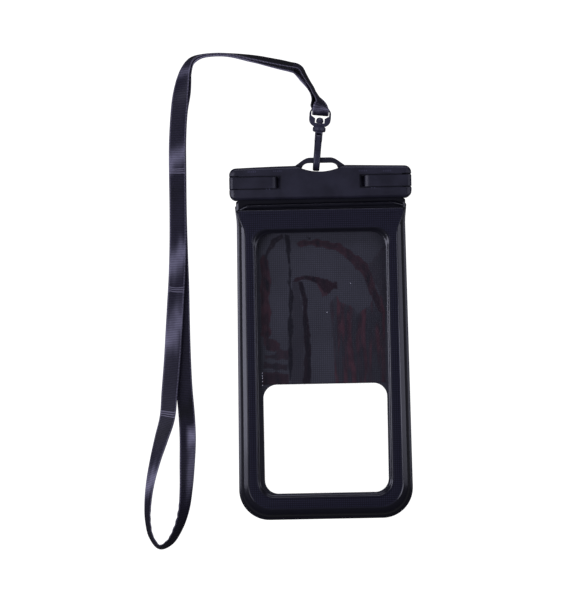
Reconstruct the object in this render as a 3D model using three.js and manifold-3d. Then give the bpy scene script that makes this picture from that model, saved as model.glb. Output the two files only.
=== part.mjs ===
// Waterproof phone pouch: a lever-locked clamp bar over a puffy frame with two clear
// windows, hung from a neck lanyard by a swivel snap hook. It lies on its back.
// Millimetres, X across, Y from the pouch's foot to the eyelet, Z up from the table.
import * as THREE from 'three';
import { mergeVertices } from 'three/addons/utils/BufferGeometryUtils.js';
import Module from 'manifold-3d';

const wasm = await Module();
wasm.setup();

// Clearances and sheet
const fit = 0.25;
const looseFit = 0.3;
const filmThickness = 0.4;

// Clamp bar
const clampLength = 112;
const clampBottomY = 85.6;
const clampHeight = 19.5;
const clampCrown = 1.2;
const clampDepth = 14;
const clampSplitZ = 6.3;
const clampCornerRadius = 4;
const clampEndFall = 2.2;
const clampEdgeRound = 2;
const rimWidth = 2.4;

// Hinge between the two halves
const hingeBelowFace = 2;
const hingePinRadius = 0.9;
const hingePinLength = 5.6;
const earWidth = 2.8;
const earHeight = 6.2;

// Latch levers
const leverTipInset = 29.1;
const leverWidth = 6.8;
const leverThickness = 2.5;
const leverTipRoll = 3.8;
const leverRise = 10.4;
const leverGroove = 0.8;
const leverSwingGroove = 1.2;
const leverArmWidth = 4.4;
const latchPinInset = 2.5;
const latchPinZ = 4.5;
const latchPinRadius = 1;
const latchPinLength = 10.6;
const fingerRecess = 2.9;
const fingerRecessDepth = 1.6;

// Seals
const sealRise = 8.2;
const sealWidth = 2.6;
const sealThickness = 0.9;

// Eyelet
const eyeletHalfWidth = 17.4;
const eyeletTopHalf = 6.2;
const eyeletReach = 5.05;
const eyeletThickness = 3.2;
const eyeletBar = 3.2;
const eyeletHoleHalf = 11.4;
const eyeletHoleTopHalf = 6.6;
const smileHalfWidth = 16;
const smileDepth = 4;

// Pouch frame
const pouchTopY = 82;
const pouchBottomY = -111.35;
const mouthHalfWidth = 52.6;
const waistHalfWidth = 51.7;
const waistBelowTop = 12;
const footHalfWidth = 53.3;
const pouchTopRadius = 1.2;
const pouchFootRadius = 18.5;
const cushionTopZ = 10.5;
const seamZ = 5.3;
const weldThickness = 0.5;

// Windows
const windowCentreX = -0.3;
const windowHalfWidth = 40.1;
const windowTopY = 65.4;
const windowBottomY = -96.2;
const windowTopRadius = 10;
const windowBottomRadius = 9;
const windowLipZ = 8.7;
const pocketMargin = 0.2;
const viewCentreX = 0.7;
const viewHalfWidth = 38.3;
const viewTopY = -28.4;
const viewBottomY = -95.9;
const viewRadius = 8.4;
const viewWeld = 2.8;
const panelZ = 1.9;
const panelThickness = 0.7;

// Swivel hook, in its own tilted frame: along runs from the bend to the ring
const hookX = -2.5;
const hookBendY = 103.1;
const hookTilt = 5.5;
const hookAxisZ = 6;
const hookInnerRadius = 2.8;
const hookBar = 2.9;
const hookWidth = 4.3;
const hookNoseAlong = 12.1;
const hookHeadAlong = 24;
const hookHeadLength = 5.7;
const hookHeadWidth = 4.7;
const gatePivotAlong = 21;
const gatePivotOffset = 4;
const gateBarrelRadius = 1.4;
const gateBarrelWidth = 2.4;
const gateWidth = 3.9;
const gateTrunnionRadius = 0.7;
const stemRadius = 1.5;
const stemHeadRadius = 2.3;
const stemHeadHeight = 3.3;
const collarRadius = 4;
const collarHeight = 3.1;
const ringWidth = 13.4;
const ringHeight = 12.2;
const ringThickness = 2.8;
const ringSideBar = 1.2;
const ringNeckHalf = 2.9;
const ringNeckHeight = 2.7;
const ringNeckSlope = 1.7;
const ringTopBar = 2.1;
const ringBottomBar = 2.2;

// Lanyard ribbon
const ribbonWidth = 10.2;
const ribbonThickness = 0.7;
const ribbonSteps = 79;

// Sizes that follow
const clampHalf = clampLength / 2;
const clampTopY = clampBottomY + clampHeight;
const backLipZ = clampSplitZ + fit;
const frontLipZ = backLipZ + filmThickness + fit;
const matingZ = frontLipZ + filmThickness + fit;
const rimZ = clampSplitZ + looseFit;
const rimInnerY = clampTopY - rimWidth;
const hingeZ = clampDepth - hingeBelowFace;
const hingeRadius = hingeZ - matingZ;
const hingeY = clampBottomY + hingeRadius;
const earTopY = clampBottomY + earHeight;
const leverY = clampBottomY + leverRise;
const leverTipX = clampHalf - leverTipInset;
const latchPinX = clampHalf - latchPinInset;
const leverUnderZ = clampDepth - leverThickness;
const slotFloorZ = leverUnderZ - looseFit;
const notchX = latchPinX - latchPinInset - 0.7;
const slotHalf = leverWidth / 2 + leverGroove;
const archTopY = clampTopY + clampCrown + eyeletReach;
const smileY = clampTopY + clampCrown - smileDepth;
const lipHalfWidth = notchX - 0.5;
const sealY = clampBottomY + sealRise;

const AXIS_X = new THREE.Vector3(1, 0, 0);
const AXIS_Y = new THREE.Vector3(0, 1, 0);
const AXIS_Z = new THREE.Vector3(0, 0, 1);

// Solids and cuts

function asSolid(geometry) {
  const bare = geometry.clone();
  bare.deleteAttribute('normal');
  bare.deleteAttribute('uv');
  const merged = mergeVertices(bare, 1e-4);
  return new wasm.Manifold(new wasm.Mesh({
    numProp: 3,
    vertProperties: new Float32Array(merged.attributes.position.array),
    triVerts: new Uint32Array(merged.index.array),
  }));
}

function asGeometry(solid) {
  const mesh = solid.getMesh();
  const geometry = new THREE.BufferGeometry();
  geometry.setAttribute('position', new THREE.BufferAttribute(new Float32Array(mesh.vertProperties), 3));
  geometry.setIndex(new THREE.BufferAttribute(new Uint32Array(mesh.triVerts), 1));
  geometry.computeVertexNormals();
  return geometry;
}

function join(first, ...others) {
  const solid = others.reduce((sum, next) => sum.add(asSolid(next)), asSolid(first));
  return asGeometry(solid);
}

function cut(body, ...tools) {
  const solid = tools.reduce((rest, tool) => rest.subtract(asSolid(tool)), asSolid(body));
  return asGeometry(solid);
}

function overlapOf(first, second) {
  return asGeometry(asSolid(first).intersect(asSolid(second)));
}

function block(x0, x1, y0, y1, z0, z1) {
  const box = new THREE.BoxGeometry(x1 - x0, y1 - y0, z1 - z0);
  return box.translate((x0 + x1) / 2, (y0 + y1) / 2, (z0 + z1) / 2);
}

function rodAlong(axis, radius, length, x, y, z, sides = 20) {
  const rod = new THREE.CylinderGeometry(radius, radius, length, sides);
  if (axis === 'x') {
    rod.rotateZ(Math.PI / 2);
  }
  if (axis === 'z') {
    rod.rotateX(Math.PI / 2);
  }
  return rod.translate(x, y, z);
}

function plate(shape, z0, z1, curveSegments = 10) {
  const geometry = new THREE.ExtrudeGeometry(shape, { depth: z1 - z0, bevelEnabled: false, curveSegments });
  return geometry.translate(0, 0, z0);
}

// A profile drawn in X and Z, drawn out between two Y values
function extrudeAcrossY(shape, y0, y1, curveSegments = 8) {
  const geometry = new THREE.ExtrudeGeometry(shape, { depth: y1 - y0, bevelEnabled: false, curveSegments });
  geometry.applyMatrix4(new THREE.Matrix4().makeBasis(AXIS_X, AXIS_Z, AXIS_Y.clone().negate()));
  return geometry.translate(0, y1, 0);
}

function mirroredX(geometry) {
  const copy = geometry.clone().toNonIndexed();
  copy.scale(-1, 1, 1);
  const points = copy.attributes.position;
  for (let i = 0; i < points.count; i += 3) {
    const first = [points.getX(i), points.getY(i), points.getZ(i)];
    points.setXYZ(i, points.getX(i + 1), points.getY(i + 1), points.getZ(i + 1));
    points.setXYZ(i + 1, ...first);
  }
  return copy;
}

function centreOf(loop) {
  const sum = loop.reduce((total, point) => total.add(point), new THREE.Vector3());
  return sum.divideScalar(loop.length);
}

function loopNormal(loop) {
  const normal = new THREE.Vector3();
  loop.forEach((point, i) => {
    normal.add(new THREE.Vector3().crossVectors(point, loop[(i + 1) % loop.length]));
  });
  return normal.normalize();
}

function capTriangles(loop, ahead) {
  const sideways = Math.abs(ahead.z) > 0.9 ? AXIS_X : AXIS_Z;
  const first = new THREE.Vector3().crossVectors(sideways, ahead).normalize();
  const second = new THREE.Vector3().crossVectors(ahead, first).normalize();
  const flat = loop.map((point) => new THREE.Vector2(point.dot(first), point.dot(second)));
  return THREE.ShapeUtils.triangulateShape(flat, []);
}

// Joins equal loops of points into one closed skin; a ring closes on its first loop
function loft(loops, ring = false) {
  const ahead = centreOf(loops[1]).sub(centreOf(loops[0])).normalize();
  const turned = loopNormal(loops[0]).dot(ahead) < 0 ? loops.map((loop) => [...loop].reverse()) : loops;
  const size = turned[0].length;
  const faces = [];
  const bands = ring ? turned.length : turned.length - 1;
  for (let k = 0; k < bands; k += 1) {
    const here = k * size;
    const next = ((k + 1) % turned.length) * size;
    for (let i = 0; i < size; i += 1) {
      const j = (i + 1) % size;
      faces.push(here + i, here + j, next + j);
      faces.push(here + i, next + j, next + i);
    }
  }
  if (!ring) {
    const last = (turned.length - 1) * size;
    const startAhead = loopNormal(turned[0]);
    const endAhead = loopNormal(turned[turned.length - 1]);
    capTriangles(turned[0], startAhead).forEach(([a, b, c]) => faces.push(a, c, b));
    capTriangles(turned[turned.length - 1], endAhead).forEach(([a, b, c]) => {
      faces.push(last + a, last + b, last + c);
    });
  }
  const geometry = new THREE.BufferGeometry();
  const values = turned.flat().flatMap((point) => [point.x, point.y, point.z]);
  geometry.setAttribute('position', new THREE.Float32BufferAttribute(values, 3));
  geometry.setIndex(faces);
  geometry.computeVertexNormals();
  return geometry;
}

function arc(x, y, radius, fromDegrees, toDegrees, steps) {
  const points = [];
  for (let k = 0; k <= steps; k += 1) {
    const angle = THREE.MathUtils.degToRad(fromDegrees + ((toDegrees - fromDegrees) * k) / steps);
    points.push([x + radius * Math.cos(angle), y + radius * Math.sin(angle)]);
  }
  return points;
}

function withoutRepeats(points) {
  return points.filter((point, i) => {
    const before = points[(i + points.length - 1) % points.length];
    return Math.hypot(point[0] - before[0], point[1] - before[1]) > 0.01;
  });
}

function roundedRectangle(x0, x1, y0, y1, radius) {
  const shape = new THREE.Shape();
  shape.moveTo(x0 + radius, y0);
  shape.lineTo(x1 - radius, y0);
  shape.absarc(x1 - radius, y0 + radius, radius, -Math.PI / 2, 0);
  shape.lineTo(x1, y1 - radius);
  shape.absarc(x1 - radius, y1 - radius, radius, 0, Math.PI / 2);
  shape.lineTo(x0 + radius, y1);
  shape.absarc(x0 + radius, y1 - radius, radius, Math.PI / 2, Math.PI);
  shape.lineTo(x0, y0 + radius);
  shape.absarc(x0 + radius, y0 + radius, radius, Math.PI, Math.PI * 1.5);
  return shape;
}

// Clamp halves

function barStations() {
  const stations = [];
  const cornerSteps = 5;
  for (let k = 0; k <= cornerSteps; k += 1) {
    const angle = (Math.PI / 2) * (k / cornerSteps);
    stations.push(-clampHalf + clampCornerRadius * (1 - Math.sin(angle)));
  }
  stations.reverse();
  const middle = clampHalf - clampCornerRadius;
  const between = [0.8, 0.55, 0.3, 0].map((share) => -middle * share);
  const left = [...stations.slice().sort((a, b) => a - b), ...between];
  const right = left.slice(0, -1).map((x) => -x).reverse();
  return [...left, ...right];
}

// The long section shrinks at both ends and rises to the crown in the middle
function barBlank(profile) {
  const loops = barStations().map((x) => {
    const past = THREE.MathUtils.clamp(Math.abs(x) - clampHalf + clampCornerRadius, 0, clampCornerRadius);
    const inset = clampCornerRadius - Math.sqrt(clampCornerRadius ** 2 - past ** 2);
    const crown = clampCrown * (1 - (x / clampHalf) ** 2);
    const height = (clampHeight + crown - 2 * inset) / clampHeight;
    const depth = 1 - (clampEndFall * inset) / clampCornerRadius / (clampDepth - clampSplitZ);
    return profile.map(([y, z]) => new THREE.Vector3(
      x,
      clampBottomY + inset + (y - clampBottomY) * height,
      clampSplitZ + (z - clampSplitZ) * depth,
    ));
  });
  return loft(loops);
}

function frontBlank() {
  const edge = clampEdgeRound;
  const profile = withoutRepeats([
    ...arc(hingeY, hingeZ, hingeRadius, 270, 180, 5),
    ...arc(clampBottomY + edge, clampDepth - edge, edge, 180, 90, 4),
    ...arc(clampTopY - edge, clampDepth - edge, edge, 90, 0, 4),
    [clampTopY, rimZ + 0.6],
    [clampTopY - 0.6, rimZ],
    [rimInnerY, rimZ],
    [rimInnerY, matingZ],
  ]);
  return barBlank(profile);
}

function backBlank() {
  const edge = clampEdgeRound;
  const profile = [
    ...arc(clampBottomY + edge, edge, edge, 180, 270, 4),
    ...arc(clampTopY - edge, edge, edge, 270, 360, 4),
    [clampTopY, clampSplitZ - 0.5],
    [clampTopY - 0.5, clampSplitZ],
    [clampBottomY + 0.8, clampSplitZ],
    [clampBottomY, clampSplitZ - 0.8],
  ];
  return barBlank(profile);
}

function smileRegion(clearance) {
  const brow = clampTopY + clampCrown + 0.2;
  const shape = new THREE.Shape();
  shape.moveTo(-smileHalfWidth - clearance, brow - clearance);
  shape.quadraticCurveTo(0, 2 * (smileY - clearance) - (brow - clearance), smileHalfWidth + clearance, brow - clearance);
  shape.lineTo(smileHalfWidth + clearance, brow + 12);
  shape.lineTo(-smileHalfWidth - clearance, brow + 12);
  return plate(shape, -1, clampDepth + 1, 20);
}

function leverSlotTools() {
  const tip = leverTipX - fingerRecess;
  const slot = block(tip, clampHalf + 1, leverY - slotHalf, leverY + slotHalf, slotFloorZ, clampDepth + 1);
  const upperWall = leverY + leverWidth / 2 + leverSwingGroove;
  const notch = block(notchX, clampHalf + 1, leverY - slotHalf, upperWall, 0, clampDepth + 1);
  const scoopRadius = 4.2;
  const scoopZ = slotFloorZ - fingerRecessDepth + scoopRadius;
  const scoop = rodAlong('y', scoopRadius, leverWidth, tip + scoopRadius, leverY, scoopZ, 24);
  return [slot, notch, scoop];
}

function hingeEarZone(clearance) {
  const inner = clampHalf - earWidth - clearance;
  return block(inner, clampHalf + 1, clampBottomY - 1, earTopY + clearance, 0, clampDepth + 1);
}

function frontBar() {
  const hingePinX = clampHalf - 0.6 - hingePinLength / 2;
  const sideTools = [
    ...leverSlotTools(),
    hingeEarZone(looseFit),
    rodAlong('x', hingePinRadius + fit, hingePinLength + 1, hingePinX, hingeY, hingeZ, 16),
  ];
  const sealGroove = block(
    -lipHalfWidth - looseFit,
    lipHalfWidth + looseFit,
    sealY - sealWidth / 2 - looseFit,
    sealY + sealWidth / 2 + looseFit,
    matingZ - 1,
    matingZ + sealThickness + looseFit,
  );
  return cut(frontBlank(), ...sideTools, ...sideTools.map(mirroredX), smileRegion(0), sealGroove);
}

function eyeletArch() {
  const base = clampTopY - 6;
  const legTop = clampTopY + 0.4;
  const shape = new THREE.Shape();
  shape.moveTo(-eyeletHalfWidth, base);
  shape.lineTo(-eyeletHalfWidth, legTop);
  const footPull = eyeletHalfWidth - 4.6;
  const topPull = eyeletTopHalf + 4;
  shape.bezierCurveTo(-footPull, legTop + 1.9, -topPull, archTopY, -eyeletTopHalf, archTopY);
  shape.lineTo(eyeletTopHalf, archTopY);
  shape.bezierCurveTo(topPull, archTopY, footPull, legTop + 1.9, eyeletHalfWidth, legTop);
  shape.lineTo(eyeletHalfWidth, base);
  const low = hookAxisZ - eyeletThickness / 2;
  return plate(shape, low, low + eyeletThickness, 12);
}

function eyeletHole() {
  const holeTop = archTopY - eyeletBar;
  const tipY = clampTopY - 0.6;
  const lowY = smileY + 0.35;
  const shape = new THREE.Shape();
  shape.moveTo(-eyeletHoleHalf, tipY);
  shape.quadraticCurveTo(0, 2 * lowY - tipY, eyeletHoleHalf, tipY);
  shape.bezierCurveTo(eyeletHoleHalf - 0.6, holeTop - 1.2, 9, holeTop, eyeletHoleTopHalf, holeTop);
  shape.lineTo(-eyeletHoleTopHalf, holeTop);
  shape.bezierCurveTo(-9, holeTop, 0.6 - eyeletHoleHalf, holeTop - 1.2, -eyeletHoleHalf, tipY);
  return plate(shape, -1, clampDepth + 1, 14);
}

// Above the split plane the arch stays behind the front half's edge
function archAboveFront() {
  const half = eyeletHalfWidth + 4;
  const low = clampTopY - clampHeight / 2;
  const slab = block(-half, half, low, clampTopY + clampCrown + 0.6, clampSplitZ, clampDepth + 2);
  return cut(slab, smileRegion(-0.6));
}

function backBar() {
  const armHalf = leverArmWidth / 2 + 0.4;
  const armSlotInner = latchPinX - latchPinInset - 0.5;
  const armSlot = block(armSlotInner, clampHalf + 1, leverY - armHalf, leverY + armHalf, -1, clampSplitZ + 1);
  const pinHole = rodAlong('y', latchPinRadius + fit, latchPinLength + 0.6, latchPinX, leverY, latchPinZ, 16);
  const earBlank = overlapOf(frontBlank(), hingeEarZone(0));
  const postBottom = clampBottomY + 2.2;
  const post = block(clampHalf - earWidth, clampHalf - 0.9, postBottom, earTopY, clampSplitZ - 0.5, hingeZ - 1);
  const hingePinX = clampHalf - 0.6 - hingePinLength / 2;
  const hingeHole = rodAlong('x', hingePinRadius + fit, hingePinLength + 0.5, hingePinX, hingeY, hingeZ, 16);
  const ear = cut(join(earBlank, post), hingeHole);
  const sealGroove = block(
    -lipHalfWidth - looseFit,
    lipHalfWidth + looseFit,
    sealY - sealWidth / 2 - looseFit,
    sealY + sealWidth / 2 + looseFit,
    clampSplitZ - sealThickness - looseFit,
    clampSplitZ + 1,
  );
  const arch = cut(eyeletArch(), archAboveFront());
  const body = cut(backBlank(), armSlot, mirroredX(armSlot), pinHole, mirroredX(pinHole), sealGroove);
  return cut(join(body, ear, mirroredX(ear), arch), eyeletHole());
}

function latchLever() {
  const end = clampHalf;
  const corner = latchPinInset;
  const shape = new THREE.Shape();
  shape.moveTo(leverTipX, leverUnderZ);
  shape.lineTo(latchPinX - latchPinInset - 0.4, leverUnderZ);
  shape.lineTo(latchPinX - latchPinInset, leverUnderZ - 0.4);
  shape.lineTo(latchPinX - latchPinInset, latchPinZ);
  shape.absarc(latchPinX, latchPinZ, latchPinInset, Math.PI, 2 * Math.PI);
  shape.lineTo(end, clampDepth - corner);
  shape.absarc(end - corner, clampDepth - corner, corner, 0, Math.PI / 2);
  shape.lineTo(leverTipX + leverTipRoll, clampDepth);
  shape.quadraticCurveTo(leverTipX + 0.6, clampDepth, leverTipX, leverUnderZ + 0.4);
  const whole = extrudeAcrossY(shape, leverY - leverWidth / 2, leverY + leverWidth / 2);
  const armHalf = leverArmWidth / 2;
  const upper = block(notchX - 1, end + 1, leverY + armHalf, leverY + leverWidth, 0, leverUnderZ - 0.5);
  const lower = block(notchX - 1, end + 1, leverY - leverWidth, leverY - armHalf, 0, leverUnderZ - 0.5);
  const bore = rodAlong('y', latchPinRadius + fit, leverWidth * 2, latchPinX, leverY, latchPinZ, 16);
  return cut(whole, upper, lower, bore);
}

function sealStrip(z0) {
  const shape = roundedRectangle(
    -lipHalfWidth,
    lipHalfWidth,
    sealY - sealWidth / 2,
    sealY + sealWidth / 2,
    sealWidth / 2 - 0.1,
  );
  return plate(shape, z0, z0 + sealThickness, 5);
}

// Pouch frame

function pouchHalfWidth(y) {
  const waistY = pouchTopY - waistBelowTop;
  if (y > waistY) {
    const share = THREE.MathUtils.smoothstep(y, waistY, pouchTopY);
    return THREE.MathUtils.lerp(waistHalfWidth, mouthHalfWidth, share);
  }
  const footY = pouchBottomY + pouchFootRadius;
  return THREE.MathUtils.lerp(waistHalfWidth, footHalfWidth, (waistY - y) / (waistY - footY));
}

function outline({ centreX, halfAt, top, bottom, topRadius, bottomRadius }) {
  const sideSteps = 11;
  const endSteps = 6;
  const cornerSteps = 6;
  const points = [];
  const low = bottom + bottomRadius;
  const high = top - topRadius;
  const corner = (x, y, radius, from) => {
    arc(x, y, radius, from, from + 90, cornerSteps).slice(1).forEach((point) => points.push(point));
  };
  const right = [];
  for (let k = 0; k <= sideSteps; k += 1) {
    const y = low + ((high - low) * k) / sideSteps;
    right.push([centreX + halfAt(y), y]);
  }
  points.push(...right);
  corner(centreX + halfAt(high) - topRadius, high, topRadius, 0);
  const topHalf = halfAt(high) - topRadius;
  for (let k = 1; k < endSteps; k += 1) {
    points.push([centreX + topHalf * (1 - (2 * k) / endSteps), top]);
  }
  points.push([centreX - topHalf, top]);
  corner(centreX - topHalf, high, topRadius, 90);
  const left = right.slice(0, -1).reverse().map(([x, y]) => [2 * centreX - x, y]);
  points.push(...left);
  const bottomHalf = halfAt(low) - bottomRadius;
  corner(centreX - bottomHalf, low, bottomRadius, 180);
  for (let k = 1; k < endSteps; k += 1) {
    points.push([centreX - bottomHalf * (1 - (2 * k) / endSteps), bottom]);
  }
  points.push([centreX + bottomHalf, bottom]);
  corner(centreX + bottomHalf, low, bottomRadius, 270);
  points.pop();
  return points;
}

function pouchOutline() {
  return outline({
    centreX: 0,
    halfAt: pouchHalfWidth,
    top: pouchTopY,
    bottom: pouchBottomY,
    topRadius: pouchTopRadius,
    bottomRadius: pouchFootRadius,
  });
}

function windowOutline() {
  return outline({
    centreX: windowCentreX,
    halfAt: () => windowHalfWidth,
    top: windowTopY,
    bottom: windowBottomY,
    topRadius: windowTopRadius,
    bottomRadius: windowBottomRadius,
  });
}

function between(outer, inner, share) {
  return outer.map(([x, y], i) => [x + (inner[i][0] - x) * share, y + (inner[i][1] - y) * share]);
}

// Sweeps a profile of [share of the band's width, height] round the frame
function frameRing(profile) {
  const outer = pouchOutline();
  const inner = windowOutline();
  const loops = outer.map(([x, y], i) => profile.map(([share, z]) => new THREE.Vector3(
    x + (inner[i][0] - x) * share,
    y + (inner[i][1] - y) * share,
    z,
  )));
  return loft(loops, true);
}

function shapeOf(points) {
  return new THREE.Shape(points.map(([x, y]) => new THREE.Vector2(x, y)));
}

function neckLip(z0, bottomY) {
  const wide = mouthHalfWidth - 0.3;
  const taperY = clampBottomY + 1.2;
  const top = rimInnerY - 0.8;
  const shape = shapeOf([
    [-wide, bottomY],
    [wide, bottomY],
    [wide, clampBottomY - 0.3],
    [lipHalfWidth, taperY],
    [lipHalfWidth, top],
    [-lipHalfWidth, top],
    [-lipHalfWidth, taperY],
    [-wide, clampBottomY - 0.3],
  ]);
  const smile = cut(plate(shape, z0, z0 + filmThickness), smileRegion(0.5));
  return smile;
}

function frontFrame() {
  const low = seamZ + looseFit;
  const rise = cushionTopZ - low;
  const ring = frameRing([
    [0, low],
    [0, low + weldThickness],
    [0.08, low + weldThickness + 0.15],
    [0.13, low + rise * 0.42],
    [0.22, low + rise * 0.74],
    [0.32, low + rise * 0.92],
    [0.41, cushionTopZ],
    [0.5, cushionTopZ - 0.3],
    [0.66, cushionTopZ - 0.15],
    [0.84, cushionTopZ - 0.2],
    [0.91, cushionTopZ - 0.6],
    [1, windowLipZ + filmThickness],
    [1, windowLipZ],
    [1 - pocketMargin, windowLipZ],
    [1 - pocketMargin, low],
  ]);
  return join(ring, neckLip(frontLipZ, pouchTopY - 4));
}

// The see-through opening of the back, grown on every side
function viewShape(grow) {
  return roundedRectangle(
    viewCentreX - viewHalfWidth - grow,
    viewCentreX + viewHalfWidth + grow,
    viewBottomY - grow,
    viewTopY + grow,
    viewRadius + grow,
  );
}

function backFrame() {
  const ring = frameRing([
    [0, seamZ - weldThickness],
    [0, seamZ],
    [1 - pocketMargin, seamZ],
    [1 - pocketMargin, panelZ],
    [0.76, panelZ - 0.6],
    [0.68, 0.2],
    [0.6, 0],
    [0.24, 0],
    [0.15, 0.6],
    [0.09, 2],
    [0.06, seamZ - weldThickness - 0.3],
  ]);
  const panelEdge = between(pouchOutline(), windowOutline(), 1 - pocketMargin - 0.03);
  const panel = plate(shapeOf(panelEdge), panelZ, panelZ + panelThickness);
  const view = viewShape(0);
  const rebate = plate(viewShape(viewWeld + looseFit), -1, panelZ, 6);
  const riserTop = pouchTopY + 1.3;
  const riserHalf = mouthHalfWidth - 0.3;
  const riser = block(-riserHalf, riserHalf, pouchTopY + 0.3, riserTop, seamZ - 1, backLipZ + filmThickness);
  const tab = block(-riserHalf, riserHalf, pouchTopY - 2, riserTop, seamZ - 1, seamZ);
  const whole = join(cut(ring, rebate), panel, tab, riser, neckLip(backLipZ, pouchTopY + 0.3));
  return cut(whole, plate(view, -1, panelZ + panelThickness + 1, 6));
}

function frontWindow() {
  const edge = between(pouchOutline(), windowOutline(), 1 - pocketMargin + 0.03);
  const top = windowLipZ - looseFit;
  return plate(shapeOf(edge), top - filmThickness, top);
}

function backWindow() {
  const top = panelZ - looseFit;
  return plate(viewShape(viewWeld), top - filmThickness, top, 6);
}

// Swivel hook, drawn with X across, Y along the hook and Z from its axis

function sweptBar(points, widthAt, thickness, radius) {
  const loops = points.map((point, k) => {
    const before = points[Math.max(0, k - 1)];
    const after = points[Math.min(points.length - 1, k + 1)];
    const along = after.clone().sub(before).normalize();
    const out = new THREE.Vector3().crossVectors(AXIS_X, along).normalize();
    const halfWidth = widthAt(k / (points.length - 1)) / 2;
    const halfDepth = thickness / 2;
    const loop = [];
    [[1, 1, 0], [-1, 1, 90], [-1, -1, 180], [1, -1, 270]].forEach(([sx, sz, from]) => {
      arc(sx * (halfWidth - radius), sz * (halfDepth - radius), radius, from, from + 90, 2).forEach(([x, d]) => {
        loop.push(point.clone().addScaledVector(AXIS_X, x).addScaledVector(out, d));
      });
    });
    return loop;
  });
  return loft(loops);
}

function hookPath() {
  const radius = hookInnerRadius + hookBar / 2;
  const bendAlong = radius + hookBar / 2;
  const shoulder = new THREE.CubicBezierCurve3(
    new THREE.Vector3(0, hookHeadAlong - 2.5, -1.6),
    new THREE.Vector3(0, hookHeadAlong - 5, -1.8),
    new THREE.Vector3(0, hookHeadAlong - 6.5, -radius),
    new THREE.Vector3(0, hookHeadAlong - 10.5, -radius),
  );
  const points = shoulder.getPoints(7);
  const steps = 10;
  for (let k = 0; k <= steps; k += 1) {
    const angle = (Math.PI * k) / steps;
    points.push(new THREE.Vector3(0, bendAlong - radius * Math.sin(angle), -radius * Math.cos(angle)));
  }
  points.push(new THREE.Vector3(0, (bendAlong + hookNoseAlong) / 2, radius));
  points.push(new THREE.Vector3(0, hookNoseAlong, radius));
  return points;
}

function stem() {
  const ringFloor = hookHeadAlong + looseFit + collarHeight + ringBottomBar;
  const headLow = ringFloor + looseFit;
  return new THREE.LatheGeometry([
    new THREE.Vector2(0, hookHeadAlong - 2),
    new THREE.Vector2(stemRadius, hookHeadAlong - 2),
    new THREE.Vector2(stemRadius, headLow),
    new THREE.Vector2(stemHeadRadius - 0.3, headLow),
    new THREE.Vector2(stemHeadRadius, headLow + 0.4),
    new THREE.Vector2(stemHeadRadius, headLow + stemHeadHeight * 0.45),
    new THREE.Vector2(stemHeadRadius * 0.72, headLow + stemHeadHeight * 0.85),
    new THREE.Vector2(0, headLow + stemHeadHeight),
  ], 20);
}

function hookBody() {
  const bar = sweptBar(hookPath(), (s) => hookWidth * (1.06 - 0.14 * s), hookBar, 0.9);
  const reach = hookInnerRadius + hookBar;
  const headShape = roundedRectangle(-hookHeadWidth / 2, hookHeadWidth / 2, -2.6, reach, 1.1);
  const head = extrudeAcrossY(headShape, hookHeadAlong - hookHeadLength, hookHeadAlong, 4);
  const slotHalfWidth = gateBarrelWidth / 2 + looseFit;
  const swing = gatePivotAlong + gateBarrelRadius + 0.5;
  const gateSlot = block(-slotHalfWidth, slotHalfWidth, 10, swing, 0.4, 10);
  const trunnionHole = rodAlong('x', gateTrunnionRadius + fit, 8, 0, gatePivotAlong, gatePivotOffset, 12);
  return cut(join(bar, head, stem()), gateSlot, trunnionHole);
}

function hookGate() {
  const tip = hookNoseAlong + looseFit;
  const inner = hookInnerRadius;
  const outer = hookInnerRadius + hookBar;
  const arm = block(-gateBarrelWidth / 2, gateBarrelWidth / 2, tip + 1, gatePivotAlong, inner - 0.1, outer - 0.2);
  const face = block(-gateWidth / 2, gateWidth / 2, tip, 16.9, inner, outer);
  const barrel = rodAlong('x', gateBarrelRadius, gateBarrelWidth, 0, gatePivotAlong, gatePivotOffset, 16);
  const trunnion = rodAlong('x', gateTrunnionRadius, hookWidth - 0.2, 0, gatePivotAlong, gatePivotOffset, 12);
  return join(arm, face, barrel, trunnion);
}

function swivelEye() {
  const low = hookHeadAlong + looseFit;
  const ringLow = low + collarHeight;
  const outer = roundedRectangle(-ringWidth / 2, ringWidth / 2, ringLow, ringLow + ringHeight, 4.6);
  const wide = ringWidth / 2 - ringSideBar;
  const holeLow = ringLow + ringBottomBar;
  const holeHigh = ringLow + ringHeight - ringTopBar;
  const neckTop = holeLow + ringNeckHeight;
  const corner = 1.2;
  const hole = new THREE.Shape();
  hole.moveTo(-ringNeckHalf, holeLow);
  hole.lineTo(ringNeckHalf, holeLow);
  hole.lineTo(ringNeckHalf, neckTop);
  hole.lineTo(wide, neckTop + ringNeckSlope);
  hole.lineTo(wide, holeHigh - corner);
  hole.absarc(wide - corner, holeHigh - corner, corner, 0, Math.PI / 2);
  hole.lineTo(corner - wide, holeHigh);
  hole.absarc(corner - wide, holeHigh - corner, corner, Math.PI / 2, Math.PI);
  hole.lineTo(-wide, neckTop + ringNeckSlope);
  hole.lineTo(-ringNeckHalf, neckTop);
  const bevel = 0.5;
  const blank = new THREE.ExtrudeGeometry(outer, {
    depth: ringThickness - 2 * bevel,
    bevelEnabled: true,
    bevelSize: bevel,
    bevelOffset: -bevel,
    bevelThickness: bevel,
    bevelSegments: 2,
    curveSegments: 6,
  });
  blank.translate(0, 0, -ringThickness / 2 + bevel);
  const ring = cut(blank, plate(hole, -ringThickness, ringThickness, 4));
  const collar = new THREE.LatheGeometry([
    new THREE.Vector2(0, low),
    new THREE.Vector2(collarRadius - 0.5, low),
    new THREE.Vector2(collarRadius, low + 0.6),
    new THREE.Vector2(collarRadius, low + collarHeight - 0.7),
    new THREE.Vector2(collarRadius - 0.6, low + collarHeight),
    new THREE.Vector2(stemRadius + 0.9, low + collarHeight + 0.9),
    new THREE.Vector2(0, low + collarHeight + 0.9),
  ], 20);
  const bore = rodAlong('y', stemRadius + fit, 12, 0, low + 3, 0, 20);
  return cut(join(ring, collar), bore);
}

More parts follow.
